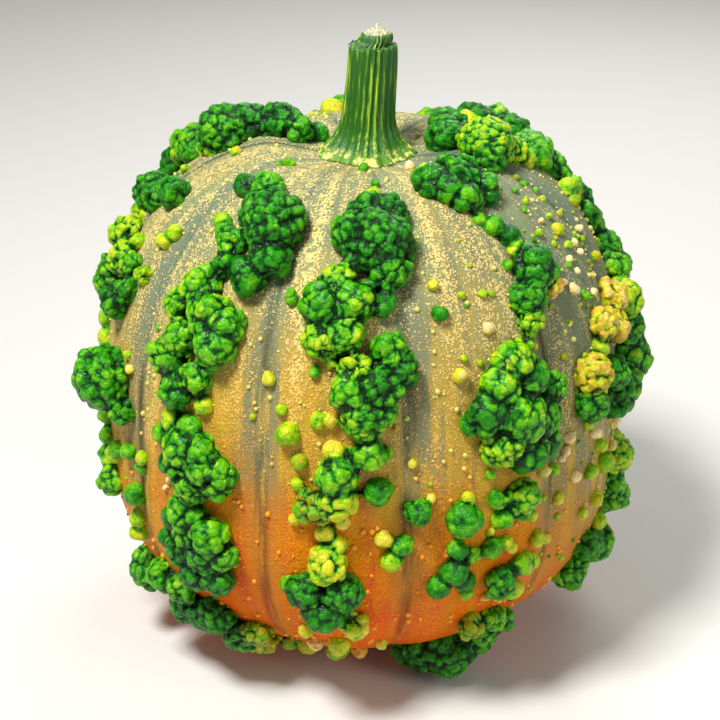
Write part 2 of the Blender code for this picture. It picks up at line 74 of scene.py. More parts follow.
# Warts that show from the front, by cluster: longitude, latitude, radius in mm, and a look. The
# look's first letter is the form: f fine lobes, m middling lobes, c coarse lobes, b folds like a
# brain's, s smooth. Its second is the tint: d dark green, g green, b bright green, l lime,
# y yellow, c cream, o olive, t tan, p peach.
SHOWN_WARTS = {
    "ridge_left_top": (
        (-104.5, 65, 12.5, "fd"), (-110, 69, 10, "md"), (-113, 73.5, 9.5, "md"),
        (-112, 77, 8, "md"), (-128, 79, 6, "sd"), (-99, 62.5, 5, "sy"), (-105, 60, 4.5, "sl"),
        (-96, 56.5, 3, "sl"), (-84, 67.5, 3.2, "sy"),
    ),
    "shoulder_left": (
        (-87, 51.5, 9.5, "fd"), (-74, 55.5, 7.5, "md"), (-84, 52.5, 7.5, "md"),
        (-61, 51, 4.4, "sl"), (-62.5, 49, 4.4, "sl"), (-75, 45.5, 4.5, "sl"), (-84, 44, 8.5, "bl"),
        (-76, 41.5, 7.5, "bl"), (-69, 42.5, 5, "bg"), (-63, 42.5, 4.3, "bl"), (-80, 38.5, 8, "bg"),
        (-82, 35.5, 8, "mg"), (-90, 32, 8.5, "bl"), (-67, 38.5, 5.8, "bg"), (-70, 35.5, 8, "md"),
        (-86, 26.5, 5.5, "sl"), (-84, 23, 5, "sl"),
    ),
    "crown_left": (
        (-48, 64, 6.5, "sd"), (-37, 64.5, 7.5, "mg"), (-27, 58, 13, "fd"), (-34, 60, 8, "fd"),
        (-45, 56.5, 5, "sg"), (-41.5, 55, 5.5, "sg"), (-37, 53.5, 6.5, "mg"), (-24.5, 52, 9, "cd"),
        (-28.5, 49, 8.2, "cd"), (-36, 50, 5.5, "md"), (-48, 73, 3, "sg"), (-52, 71.5, 2, "sg"),
        (-17, 47, 3.8, "sg"),
    ),
    "front_left_upper": (
        (-40, 46, 8.5, "cb"), (-35, 42, 9.5, "cb"), (-30.5, 41, 7.5, "cg"), (-45, 42, 7, "mb"),
        (-32, 37.5, 9, "cg"), (-41.5, 37, 8, "mb"), (-44, 33.5, 8.5, "cg"), (-36, 31.5, 7.5, "cg"),
        (-40.5, 28, 8, "mg"), (-34, 27, 4.7, "sl"),
    ),
    "front_left_middle": (
        (-42, 22, 6, "sl"), (-44.5, 18.5, 6, "sg"), (-37, 22, 6.5, "sg"), (-38, 18, 8.5, "cg"),
        (-33, 18.5, 7.5, "cg"), (-39.5, 14.5, 8, "md"), (-32.5, 15, 8.5, "cg"),
        (-28.5, 15, 6.5, "cg"), (-35.5, 11, 8.5, "fg"), (-30, 12, 6.5, "cg"),
    ),
    "front_left_lower": (
        (-37, 4, 8.5, "cg"), (-42, 0.5, 6.5, "sd"), (-37, -1, 7.5, "mg"), (-31.5, 0.5, 9, "cg"),
        (-44, -5, 6, "sd"), (-39, -5, 8, "fd"), (-33.5, -5, 8, "mg"), (-28.5, -4, 6.5, "mg"),
        (-36.5, -10.5, 8, "md"), (-31, -10, 7.5, "md"),
    ),
    "foot_left": (
        (-66, -26, 10.5, "mg"), (-52, -20, 8.5, "mg"), (-48, -27, 8.5, "md"), (-42, -27, 8.5, "md"),
        (-45, -20, 7, "mg"), (-36, -24, 8.5, "fd"), (-50, -30, 9.5, "md"), (-33, -31, 9, "fd"),
        (-29, -36, 7.5, "mo"), (-27, -28, 6.5, "mo"), (-23, -40, 5, "so"), (-17, -40, 5, "so"),
    ),
    "side_left": (
        (-67, 21.5, 14, "cg"), (-61, 17, 6.5, "fd"), (-60.5, 25.5, 3.3, "sy"), (-62, 28, 2.6, "sl"),
        (-75, 4.5, 5.2, "sg"), (-84, 6, 4.5, "sl"), (-76, 9, 5, "sg"), (-66, 5.5, 4.5, "sg"),
        (-69, 3, 5, "sl"), (-54, 9, 4, "sl"), (-55, 6, 4, "sg"), (-60, 8, 4.7, "sg"),
        (-73, -1.5, 5.2, "sl"), (-70, -4, 7, "mg"), (-77, -1, 6, "sg"), (-58, -1.5, 6.4, "sg"),
        (-59, -8, 5, "sl"), (-60, -12, 5.5, "sl"), (-43.5, 8.5, 2.2, "sc"), (-45, 6, 2, "sc"),
    ),
    "front_top": (
        (4, 56, 12.5, "fd"), (-3, 58, 9, "fd"), (1, 62, 8, "md"), (7.5, 61, 8.5, "fd"),
        (9.5, 55, 8.5, "fd"), (6, 51.5, 8.5, "bg"), (-1.5, 54, 6, "md"), (-4, 53, 3.2, "sl"),
        (4, 67, 3.5, "sl"), (5.5, 69.5, 2.6, "sg"), (0, 78, 3, "sg"),
    ),
    "front_upper": (
        (-2, 47, 9, "cg"), (-9.5, 46.5, 9, "cg"), (-6, 50, 7.5, "mb"), (-4, 42, 8, "bg"),
        (-9, 41, 7.5, "bb"), (4, 46.5, 6.2, "sd"), (-10, 36, 2.8, "sg"), (-6.5, 37.5, 3.5, "sl"),
        (-20, 33.5, 3.6, "sy"),
    ),
    "front_middle": (
        (5, 39.5, 7.5, "mg"), (7, 36, 8, "fd"), (-1.5, 36.5, 7, "bb"), (-2.5, 33, 8.5, "cg"),
        (3.5, 34, 9, "bd"), (0, 29, 9, "fg"), (4.5, 30, 6, "mg"), (1, 22.5, 7.5, "cg"),
        (3.7, 22, 4.5, "sl"), (2.7, 14.7, 7, "sd"),
    ),
    "front_column": (
        (-9, 28, 4.3, "sl"), (-6.5, 28, 4, "sy"), (-15, 25, 6, "sl"), (-16.5, 29, 3, "sl"),
        (-12.5, 20, 4.2, "so"), (-13, 15.5, 3.3, "sl"), (-5.5, 22.5, 5.7, "sy"),
        (-5, 18.5, 9, "cg"), (-5, 13.5, 8.5, "cl"), (-10, 11.5, 7, "co"), (-8, 9.5, 5, "so"),
        (-13.5, 8, 3.3, "sy"), (-4, 8, 3.8, "sy"), (-7.5, 5.5, 5, "sy"), (-5, 3, 5, "sl"),
        (-7, -1, 8.5, "cl"),
    ),
    "front_foot": (
        (-11.5, -8, 8, "md"), (-4, -7.5, 8.5, "md"), (-8, -13, 9.5, "cd"), (-15, -8, 5, "sg"),
        (-2, -17, 7, "cl"), (-13, -23, 4.3, "sy"), (-12, -30, 4.3, "st"), (-6, -29, 6, "sl"),
        (-8, -41, 5.5, "so"), (-1, -42, 4.3, "st"), (4.5, -30, 3.5, "sy"),
    ),
    "front_right_pearls": (
        (4, 4, 4.5, "sy"), (7.5, 2, 5.7, "sg"), (5.5, -1, 5.7, "sl"), (11, 9.5, 6, "md"),
        (13.5, 12, 2.8, "sy"), (16.8, 49, 3, "sl"), (17.5, 44.5, 4, "sd"), (20, 34.5, 3.8, "sy"),
        (21.5, 37, 2.2, "sl"), (25, 36, 2, "sl"), (28, 41, 3.4, "sc"), (29, 46.5, 2.3, "sl"),
        (23.5, 47, 2, "sl"), (6.5, 26.5, 2, "st"), (10, 19.5, 2.6, "sy"),
    ),
    "big_right": (
        (37, 36.5, 4.2, "sl"), (39, 36, 3, "sy"), (32, 35, 9, "cb"), (28, 31.5, 8.5, "cb"),
        (35.5, 32, 8.5, "cg"), (41.5, 28, 7.5, "fg"), (25, 27.5, 9, "cd"), (31.5, 26, 11.5, "cg"),
        (37, 23.5, 9, "cg"), (27.5, 21, 9, "fb"), (33.5, 19, 9.5, "cd"), (38.5, 18.5, 7.5, "md"),
        (22, 26, 6, "sg"), (41, 24, 6, "md"),
    ),
    "shoulder_right": (
        (41, 56, 5.5, "sg"), (45, 53.5, 5.5, "sd"), (38, 58, 3.5, "sg"), (45, 52, 4.5, "sl"),
        (39, 49.5, 3, "sg"), (46.5, 47.5, 9, "cd"), (44, 51, 4, "sl"), (40, 43.5, 8, "bd"),
        (48.5, 44, 5.5, "mp"), (39, 40, 6.2, "fb"),
    ),
    "crown_right": (
        (29, 67.5, 7.5, "cd"), (35, 65, 8.5, "cd"), (44, 66, 9, "cd"), (40, 65.5, 9, "cd"),
        (49, 63, 7.5, "cd"), (45, 69, 7, "cd"), (37, 62.5, 7.5, "cd"), (42, 60.5, 4, "sg"),
        (35, 76, 3, "sc"), (38, 73, 3, "sy"),
    ),
    "ridge_right_top": (
        (80, 68, 12, "fb"), (93, 75, 9.5, "cd"), (115, 73, 8, "cd"), (88, 64, 7, "fb"),
        (90, 61, 5, "sl"), (70, 67, 7.5, "fg"), (104, 73, 8, "cd"),
    ),
    "ridge_back_right": (
        (131, 64, 6.5, "sl"), (123, 62.5, 6, "sl"), (119, 60.5, 4.5, "sc"), (115, 59, 4.5, "sl"),
        (110, 57.5, 4.5, "sc"), (105, 56, 4.8, "sl"), (104, 54, 4.6, "sc"), (103, 52, 4.6, "sc"),
        (103, 49, 5, "sl"), (94, 51.5, 5.5, "sl"), (98, 49, 5, "sl"), (90, 50, 3.3, "so"),
        (80, 41, 3.2, "so"), (-165, 67, 6, "sl"),
    ),
    "side_right": (
        (75, 34.5, 8, "mp"), (85, 30.5, 10, "cl"), (63, 33.5, 7.5, "mp"), (71, 30, 7.5, "mp"),
        (85, 24.5, 9.5, "mg"), (61, 29.5, 5.5, "sl"), (54.5, 27, 9, "fp"), (53.5, 21.5, 8, "fd"),
        (84, 18.5, 11, "cg"), (79, 15, 9.5, "cg"), (65, 23.5, 8, "md"), (67, 16, 7, "md"),
        (76, 12, 7, "md"),
    ),
    "side_right_pearls": (
        (62, 60.5, 2.2, "sg"), (70, 60, 2.2, "sg"), (73, 57.5, 2, "sg"), (61, 58, 2, "sl"),
        (57, 57, 2, "sg"), (65, 53.5, 2.5, "sl"), (60, 54, 2.2, "sc"), (55, 52.5, 2.3, "sl"),
        (64, 51, 3.4, "sy"), (79, 47, 2.5, "sc"), (64, 48, 2.6, "sl"), (68, 47.5, 2.3, "sc"),
        (68, 45.5, 2.2, "sc"), (61, 46, 2.2, "sc"), (53, 46.5, 2.6, "sg"), (62, 43.5, 2.2, "sc"),
        (54, 43.5, 2.4, "sc"), (57, 41.5, 3.3, "sc"), (61, 39.5, 3, "sg"), (66, 38.5, 2.6, "sc"),
        (70, 40.5, 2.2, "sc"), (48, 16, 3.3, "sc"), (54.5, 16.5, 3.5, "sl"),
        (57.5, 13.5, 3.7, "sc"), (60, 9.5, 4.2, "sl"), (71, 9.5, 3.6, "sc"), (47, 13.5, 2.9, "sc"),
        (46, 12, 2.4, "sc"), (50, 6.5, 3.6, "sc"), (56, 5, 4.2, "sl"),
    ),
    "side_right_lower": (
        (63, 4, 5.8, "sl"), (76, -1, 8.5, "ml"), (70, 4.5, 3.4, "sp"), (76, -8, 7.5, "mg"),
        (79, -12, 9.5, "cg"), (60, -3.5, 4.3, "sy"), (67, -13, 5, "sl"), (54, -4, 3.8, "sl"),
        (60, -15.5, 7, "md"), (68, -19, 9.5, "cg"), (61, -25, 8.5, "cg"), (66, -27, 8, "md"),
    ),
    "front_right_lower": (
        (20, 7, 9, "sd"), (21, 11, 3.7, "sl"), (27.5, 9.5, 5.2, "sg"), (33, 9, 7.8, "mg"),
        (34, 5, 5.5, "sg"), (29, 5, 5.7, "sg"), (38, 7, 3.3, "sl"), (41, 5, 2.5, "sl"),
        (45.5, 3, 3.5, "sy"), (37, 2.5, 3, "sy"), (40, 11.5, 4, "sy"), (43.5, 10.5, 3.7, "sg"),
        (26, 15, 3.2, "sg"), (26.5, 2, 2.5, "sl"), (26.5, -1.5, 5.5, "sg"), (30, -1, 3.8, "sl"),
        (31.5, -3, 3.3, "sy"), (19, 0, 5.3, "sd"), (18.5, -5, 7, "sd"), (15.5, -8.5, 6.2, "sd"),
        (21, -8, 5.5, "sd"), (22.5, -2, 4.4, "sg"), (22, -12, 3.7, "sl"),
    ),
    "foot_right": (
        (29, -10, 7.5, "md"), (34.5, -8, 6.2, "sl"), (38.5, -3.5, 4.5, "sy"), (43, -6, 3, "sy"),
        (38, -9, 4.4, "sl"), (34, -15, 5.4, "sl"), (27, -15, 3, "st"), (31, -17, 3, "st"),
        (25, -23, 6.5, "mo"), (31, -23, 6.5, "mg"), (35.5, -27, 6.5, "mg"), (31, -29, 7.5, "mg"),
        (19, -42.5, 9.5, "md"), (26, -40, 12.5, "md"), (34, -36.5, 8.5, "md"),
        (14.5, -44, 6.5, "md"),
    ),
}

# Clusters that are fused into one piece each, and the piece's name
WART_PIECES = {
    "warts_left": ("ridge_left_top", "shoulder_left", "side_left"),
    "warts_front_left": (
        "crown_left", "front_left_upper", "front_left_middle", "front_left_lower", "foot_left",
    ),
    "warts_front": ("front_top", "front_upper", "front_middle", "front_column", "front_foot"),
    "warts_front_right": (
        "front_right_pearls", "big_right", "shoulder_right", "crown_right", "front_right_lower",
        "foot_right",
    ),
    "warts_right": (
        "ridge_right_top", "ridge_back_right", "side_right", "side_right_pearls", "side_right_lower",
    ),
}

# Far side: clusters down the crests of its ribs by a seeded rule, and single knobs between them
FAR_SEED = 11
FAR_CRESTS = (-176, -144, -110, 101, 127, 157)
FAR_TOP_LATITUDES = (50, 58)
FAR_LOWEST_LATITUDE = -32
FAR_STEP = (11, 17)
FAR_KNOB_RADIUS = (7.5, 11)
FAR_SINGLES = 46
FAR_LOOKS = ("fd", "md", "cd", "cg", "mg", "fg", "mb", "bl", "bg", "cd")
FAR_SMALL_LOOKS = ("sg", "sl", "sy", "sc", "st", "sl")

# By form: radius of a wart's lumps as a share of its own, width of the lobes on them in mm, and how
# deep the lobes' creases are
LUMP_SHARES = {"f": 0.34, "m": 0.38, "c": 0.42, "b": 0.34}
LOBE_WIDTHS = {"f": 4.3, "m": 5.6, "c": 7.2, "b": 4.8, "s": 5.5}
CREASING = {"f": 1.0, "m": 1.0, "c": 1.1, "b": 1.15, "s": 0.4}
LOBED_SWELL = 1.1  # how much more room a lobed wart takes than the round one that the list gives
# Tint along the ramp from dark green to cream, and how far it turns to tan or peach
TINTS = {
    "d": (0.12, 0.0), "g": (0.25, 0.0), "b": (0.37, 0.0), "l": (0.46, 0.0), "y": (0.58, 0.1),
    "c": (0.90, 0.3), "o": (0.40, 0.5), "t": (0.75, 0.9), "p": (0.66, 0.6),
}
# That ramp's stops, in the colours of a screen
TINT_RAMP = (
    (0.0, (4, 52, 8)), (0.16, (10, 90, 8)), (0.34, (36, 136, 4)), (0.5, (98, 176, 4)),
    (0.66, (168, 198, 12)), (0.82, (220, 200, 46)), (1.0, (240, 222, 160)),
)
# Relief that drives the painted shade in the creases and the painted highlights on the lobes: rounds of
# averaging, and the depth that counts as full
FINE_RELIEF = (8, 0.35 * MM)
BROAD_RELIEF = (40, 1.3 * MM)
SMALLEST_LOBED = 3.5 * MM  # a wart of a smaller radius is as plain as a pea
LUMPS = 3.8  # a knob's count of lumps, over the square of how many fit across it
KNOB_CORE = 0.95  # radius of the ball inside a knob's lumps, as a share of the knob's
PEA_SHARES = (0.9, 0.74, 0.7, 0.66)  # radii of a plain wart's balls, as shares of its own
COARSE_BALL = 1.7 * MM  # balls up to here have the fewest faces
FINE_BALL = 4 * MM  # and balls from here the most

# Rind: columns and rows of its net
RIND_NET = (300, 210)

# Stem: its ridges, and how its torn top narrows, as shares of the way up and of the shaft's radius
STEM_SEED = 4
STEM_RIDGES = 21
COLUMNS_PER_RIDGE = 9
STEM_TWIST = 0.10
STEM_SHIFT = -1.4 * MM  # the foot's middle, from the middle of the solid stem's box
TORN_NARROWING = (
    (0.04, 0.92), (0.07, 0.78), (0.1, 0.68), (0.3, 0.65), (0.5, 0.6), (0.6, 0.5), (0.7, 0.36),
    (0.78, 0.18), (0.86, 0.12), (0.97, 0.05),
)

# Stage: the point that the camera looks at, the lights as place, size and watts, and the sky's light
AIM = (-0.0013, 0.0, 0.1243)
LIGHTS = {
    "key": ((-0.42, -0.5, 1.27), 0.3, 26.0), "fill": ((0.9, -0.6, 0.5), 0.5, 3.5),
    "rim": ((0.3, 0.9, 0.9), 0.6, 7.0),
}
SKY_LIGHT = 0.22
FLOOR_REACH = 4.0


def srgb(red, green, blue):
    """A colour given as 0 to 255 on a screen, in the linear values that shaders use."""
    shares = [value / 255 for value in (red, green, blue)]
    linear = [s / 12.92 if s <= 0.04045 else ((s + 0.055) / 1.055) ** 2.4 for s in shares]
    return (*linear, 1.0)


def colour_property(name, description, red, green, blue):
    return FloatVectorProperty(
        name=name, description=description, default=srgb(red, green, blue), size=4, min=0, max=1,
        subtype="COLOR",
    )


def length_property(name, description, metres):
    return FloatProperty(name=name, description=description, default=metres, min=0, unit="LENGTH")


class RindSettings(PropertyGroup):
    radius: length_property("Radius", "Half width of the bare fruit", 120 * MM)
    crown_rise: length_property("Crown rise", "Widest level up to the crown", 143 * MM)
    base_drop: length_property("Base drop", "Widest level down to the blossom end", 94 * MM)
    resting_cut: length_property("Resting cut", "Taken off the blossom end as a flat spot", 2.2 * MM)
    furrow_depth: length_property("Furrow depth", "Depth between ribs at the widest level", 2.8 * MM)
    crown_furrow_depth: length_property("Crown furrow", "Depth between ribs near the stem", 5.5 * MM)
    seat_radius: length_property("Seat radius", "Flat middle of the hollow in the crown", 20 * MM)
    hollow_radius: length_property("Hollow radius", "Edge of the hollow in the crown", 52 * MM)
    slate: colour_property("Slate", "Unripe ground of the skin", 116, 132, 98)
    cream: colour_property("Cream", "Short dashes on the unripe skin", 240, 208, 128)
    tan: colour_property("Tan", "Skin that has begun to ripen", 186, 150, 44)
    ochre: colour_property("Ochre", "Skin halfway to ripe", 206, 122, 6)
    orange: colour_property("Orange", "Ripe skin near the base", 228, 76, 0)
    amber: colour_property("Amber", "Paler flecks in the ripe skin", 242, 150, 12)
    furrow_grey: colour_property("Furrow grey", "Dull bloom in the furrows", 100, 116, 98)
    furrow_line: colour_property("Crack", "Thin dark line at the bottom of a furrow", 52, 44, 24)


class WartSettings(PropertyGroup):
    voxel: length_property("Grain", "Size of the net's squares on the warts", 0.85 * MM)
    far_voxel: length_property("Far grain", "The same on the far side", 1.25 * MM)
    raise_share: FloatProperty(
        name="Raise", description="How far a wart's middle stands above the skin, in its radii",
        default=0.4, min=0, max=1,
    )
    lobe_depth: length_property("Lobe depth", "How deep the creases between lobes are", 3.3 * MM)
    wrinkle_depth: length_property("Wrinkle depth", "Depth of the small lobes on them", 0.9 * MM)
    seed: IntProperty(name="Seed", description="Changes the lobes' places", default=5, min=0)
    # Colours of the painted shade deep between the lobes, on dark and on pale warts
    crease: colour_property("Crease", "Colour deep between the lobes", 8, 42, 8)
    pale_crease: colour_property("Pale crease", "The same on a lime or cream wart", 70, 76, 14)
    bronze: colour_property("Bronze", "Darker tan on a ripening wart", 176, 116, 10)
    peach: colour_property("Peach", "Paler tan on a ripening wart", 240, 158, 36)


class DotSettings(PropertyGroup):
    dot_radius: length_property("Dot radius", "Largest radius of the tiny raised dots", 1.4 * MM)
    dull_dot: colour_property("Dull dot", "Some of the dots on the unripe skin", 188, 190, 92)
    dot_density: FloatProperty(
        name="Dot density", description="Tiny raised dots to a square metre", default=9000, min=0
    )
    pearl_radius: length_property("Pearl radius", "Largest radius of the small pearls", 2.0 * MM)
    pearl_density: FloatProperty(
        name="Pearl density", description="Pearls to a square metre where they are thickest",
        default=5200, min=0,
    )
    seed: IntProperty(name="Seed", description="Changes the dots' places", default=3, min=0)


class StemSettings(PropertyGroup):
    radius: length_property("Radius", "Radius of the shaft at its top", 10.8 * MM)
    taper: length_property("Taper", "How much thicker the shaft is above its foot", 1.4 * MM)
    foot_radius: length_property("Foot radius", "Radius of the flared foot", 21.5 * MM)
    flare_height: length_property("Flare height", "How high the foot's flare reaches", 6.5 * MM)
    length: length_property("Length", "Seat up to where the outer ridges end", 48 * MM)
    lean: length_property("Lean", "How far the top stands to the right of the foot", 2.6 * MM)
    ridge_depth: length_property("Ridge depth", "Depth of the grooves between ridges", 1.2 * MM)
    green: colour_property("Green", "Grooves of the shaft", 30, 92, 4)
    # Colour of the painted highlight along the ridges of the shaft
    ridge_highlight: colour_property("Light green", "Ridges of the shaft", 166, 200, 50)
    foot_yellow: colour_property("Foot yellow", "Edge of the flared foot", 222, 214, 110)
    foot_green: colour_property("Foot green", "Between the foot's yellow spots", 78, 128, 14)
    torn: colour_property("Torn", "Dry torn fibres at the top", 208, 200, 166)
    dry: colour_property("Dry", "Darker dry fibres among them", 120, 116, 60)


class StageSettings(PropertyGroup):
    pitch: FloatProperty(
        name="Pitch", description="How far the camera looks down", default=math.radians(26),
        subtype="ANGLE",
    )
    distance: length_property("Distance", "Camera to the aim point", 0.8)
    lens: FloatProperty(name="Lens", description="Focal length in mm", default=84.9, min=1)
    floor_colour: colour_property("Floor", "Plain pale floor", 214, 212, 206)


def smoothstep(value, low, high):
    share = np.clip((value - low) / (high - low), 0, 1)
    return share * share * (3 - 2 * share)


class Skin:
    """The bare ribbed skin as a formula of longitude and latitude, in degrees, on whole arrays."""

    crown_squareness = 2.85
    base_squareness = 2.25
    deepening = (20, 70)

    def __init__(self, settings):
        self.settings = settings
        self.widest = settings.base_drop - settings.resting_cut
        self.stem_x = (STEM_LOW.x + STEM_HIGH.x) / 2
        self.seat = STEM_LOW.z

    def across_rib(self, longitude):
        """0 at a rib's left furrow, 1 at its right one."""
        longitude = (np.asarray(longitude, float) + 180) % 360 - 180
        edges = np.array([FURROWS[-1] - 360, *FURROWS, FURROWS[0] + 360], float)
        left = np.searchsorted(edges, longitude, side="right") - 1
        return (longitude - edges[left]) / (edges[left + 1] - edges[left])

    def from_furrow(self, longitude):
        """How many degrees of longitude the nearest furrow is away."""
        gaps = (np.asarray(longitude, float)[:, None] - np.array(FURROWS) + 180) % 360 - 180
        return np.abs(gaps).min(1)

    def furrow_share(self, longitude):
        """1 in a furrow, 0 on a crest."""
        return (1 - np.sin(np.pi * self.across_rib(longitude))) ** 2

    def points(self, longitude, latitude):
        s = self.settings
        lon = np.radians(longitude)
        lat = np.radians(latitude)
        above = lat > 0
        rise = np.where(above, s.crown_rise, s.base_drop)
        square = np.where(above, self.crown_squareness, self.base_squareness)
        outward = np.abs(np.cos(lat)) / s.radius
        upward = np.abs(np.sin(lat)) / rise
        reach = (outward**square + upward**square) ** (-1 / square)
        towards_crown = smoothstep(latitude, *self.deepening)
        depth = s.furrow_depth + (s.crown_furrow_depth - s.furrow_depth) * towards_crown
        depth = depth * self.furrow_share(longitude) * np.sqrt(np.abs(np.cos(lat)))
        level = np.maximum(0.0, reach * np.cos(lat) - depth)
        x = level * np.sin(lon)
        y = -level * np.cos(lon)
        z = self.widest + reach * np.sin(lat)
        rim = smoothstep(np.hypot(x - self.stem_x, y), s.seat_radius, s.hollow_radius)
        z = np.where(above, self.seat + (z - self.seat) * rim, z)
        return np.stack([x, y, z], -1)

    def directions(self, longitude, latitude):
        """The outward, eastward and northward directions there."""
        step = 1.5
        east = self.points(longitude + step, latitude) - self.points(longitude - step, latitude)
        north = self.points(longitude, latitude + step) - self.points(longitude, latitude - step)
        outward = np.cross(east, north)
        outward /= np.linalg.norm(outward)
        east /= np.linalg.norm(east)
        return outward, east, np.cross(outward, east)


class Value:
    """A node's output that can be used in sums."""

    def __init__(self, nodes, socket):
        self.nodes = nodes
        self.socket = socket

    def math(self, operation, *others):
        inputs = dict(enumerate((self, *others)))
        return self.nodes.value("ShaderNodeMath", {"operation": operation}, inputs)

    def __add__(self, other):
        return self.math("ADD", other)

    def __sub__(self, other):
        return self.math("SUBTRACT", other)

    def __mul__(self, other):
        return self.math("MULTIPLY", other)

    def __rsub__(self, other):
        return self.math("MULTIPLY", -1.0).math("ADD", other)

    def __rtruediv__(self, other):
        return self.nodes.value("ShaderNodeMath", {"operation": "DIVIDE"}, {0: other, 1: self})

    __radd__ = __add__
    __rmul__ = __mul__

    def above(self, low, high):
        """0 at low, 1 at high, smooth between them."""
        settings = {"interpolation_type": "SMOOTHSTEP"}
        inputs = {"Value": self, "From Min": low, "From Max": high}
        return self.nodes.value("ShaderNodeMapRange", settings, inputs)


class Nodes:
    """Adds nodes to a tree, each with its settings first and then its sockets' values or links."""

    def __init__(self, tree):
        self.tree = tree

    def add(self, kind, settings=None, inputs=None):
        node = self.tree.nodes.new(kind)
        for name, setting in (settings or {}).items():
            if name == "stops":
                self.set_stops(node.color_ramp, setting)
            else:
                setattr(node, name, setting)
        for name, value in (inputs or {}).items():
            self.feed(node.inputs[name], value)
        return node

    def feed(self, socket, value):
        if isinstance(value, Value):
            self.tree.links.new(value.socket, socket)
        else:
            socket.default_value = value

    def value(self, kind, settings=None, inputs=None, output=0):
        return Value(self, self.add(kind, settings, inputs).outputs[output])

    def set_stops(self, ramp, stops):
        while len(ramp.elements) < len(stops):
            ramp.elements.new(1.0)
        for element, (place, colour) in zip(ramp.elements, stops):
            element.position = place
            element.color = colour

    def blend(self, share, first, second):
        settings = {"data_type": "RGBA"}
        return self.value("ShaderNodeMix", settings, {0: share, 6: first, 7: second}, 2)

    def attribute(self, name, output):
        return self.value("ShaderNodeAttribute", {"attribute_name": name}, output=output)

    def noise(self, place, scale, detail=2.0, roughness=0.5):
        inputs = {"Vector": place, "Scale": scale, "Detail": detail, "Roughness": roughness}
        return self.value("ShaderNodeTexNoise", None, inputs)

    def cells(self, place, scale, output="Distance", feature="F1"):
        inputs = {"Vector": place, "Scale": scale}
        return self.value("ShaderNodeTexVoronoi", {"feature": feature}, inputs, output)

    def bump(self, strength, distance, height):
        inputs = {"Strength": strength, "Distance": distance, "Height": height}
        return self.value("ShaderNodeBump", None, inputs)

    def named_attribute(self, name, data_type="FLOAT"):
        """A mesh attribute, read in a Geometry Nodes tree."""
        settings = {"data_type": data_type}
        return self.value("GeometryNodeInputNamedAttribute", settings, {"Name": name}, "Attribute")

    def vector_attribute(self, name):
        """A mesh attribute of three numbers, in a tree of either kind."""
        if self.tree.type == "SHADER":
            return self.attribute(name, "Vector")
        return self.named_attribute(name, "FLOAT_VECTOR")


def lobe_place(nodes):
    """The place on a wart counted in lobes, bent so that the lobes differ."""
    spot = nodes.vector_attribute("spot")
    inputs = {"Vector": spot, "Scale": 0.8, "Detail": 2.0}
    bend = nodes.value("ShaderNodeTexNoise", None, inputs, "Color")
    settings = {"operation": "MULTIPLY_ADD"}
    return nodes.value("ShaderNodeVectorMath", settings, {0: bend, 1: (1.1, 1.1, 1.1), 2: spot})


def new_material(name):
    """A material whose only node so far is its shader, and what adds nodes to it."""
    material = bpy.data.materials.new(name)
    material.use_nodes = True
    nodes = Nodes(material.node_tree)
    return material, nodes, material.node_tree.nodes["Principled BSDF"]


def rind_material(settings):
    """Slate skin with cream dashes that ripens through tan to orange, with dull furrows and a thin dark
    line along their bottoms.
    """
    material, nodes, shader = new_material("speckled_rind")
    grain = nodes.attribute("grain", "Vector")
    ripe = nodes.attribute("ripe", "Fac")
    furrow = nodes.attribute("furrow", "Fac")
    seam = nodes.attribute("seam", "Fac")
    place = nodes.value("ShaderNodeTexCoord", output="Object")
    long_way = nodes.value("ShaderNodeMapping", None, {"Vector": grain, "Scale": (1, 1, 0.1)})
    streaks = nodes.noise(long_way, 1.6, 4.0, 0.6)
    ripe = ripe + (nodes.noise(place, 30.0, 4.0) - 0.5) * 0.45 + (streaks - 0.5) * 0.7
    ripe = ripe - furrow * 0.1
    ground = nodes.blend(ripe.above(-0.1, 0.4), settings.slate, settings.tan)
    ground = nodes.blend(ripe.above(0.5, 0.85), ground, settings.ochre)
    ground = nodes.blend(ripe.above(0.78, 1.08), ground, settings.orange)
    bare = nodes.attribute("bare", "Fac")
    bloom = (streaks + furrow * 0.22 + bare * 0.15).above(0.5, 0.72) * (1 - ripe.above(0.4, 1.0) * 0.85)
    ground = nodes.blend(bloom * 0.8, ground, settings.furrow_grey)
    flecks = nodes.blend(ripe.above(0.1, 0.8), settings.cream, settings.amber)
    crowding = nodes.noise(long_way, 0.9, 3.0) - furrow * 0.14 - bloom * 0.12 - bare * 0.16
    bend = nodes.noise(place, 900.0, 2.0)
    scales = nodes.cells(place, 980.0) + (bend - 0.5) * 0.6 - crowding * 0.9
    dashes = 1 - scales.above(0.0, 0.16)
    worn = nodes.noise(place, 260.0, 3.0).above(0.3, 0.5)
    specks = 1 - nodes.cells(place, 230.0).above(0.1, 0.2)
    colour = nodes.blend(dashes * worn * (0.7 - ripe.above(0.2, 0.9) * 0.25), ground, flecks)
    colour = nodes.blend(specks * 0.8, colour, flecks)
    # A thin dark line along the furrows' bottoms, broken by the streaks, also sunk in by the bump
    dark_furrow_line = seam * streaks.above(0.4, 0.62)
    colour = nodes.blend(dark_furrow_line * 0.8, colour, settings.furrow_line)
    nodes.feed(shader.inputs["Base Color"], colour)
    nodes.feed(shader.inputs["Roughness"], dashes * 0.12 + 0.42)
    shader.inputs["Specular IOR Level"].default_value = 0.08
    height = dashes * worn * 0.6 + specks * 0.8 + nodes.noise(place, 240.0, 4.0) * 0.9 - dark_furrow_line
    nodes.feed(shader.inputs["Normal"], nodes.bump(0.8, 0.8 * MM, height))
    return material


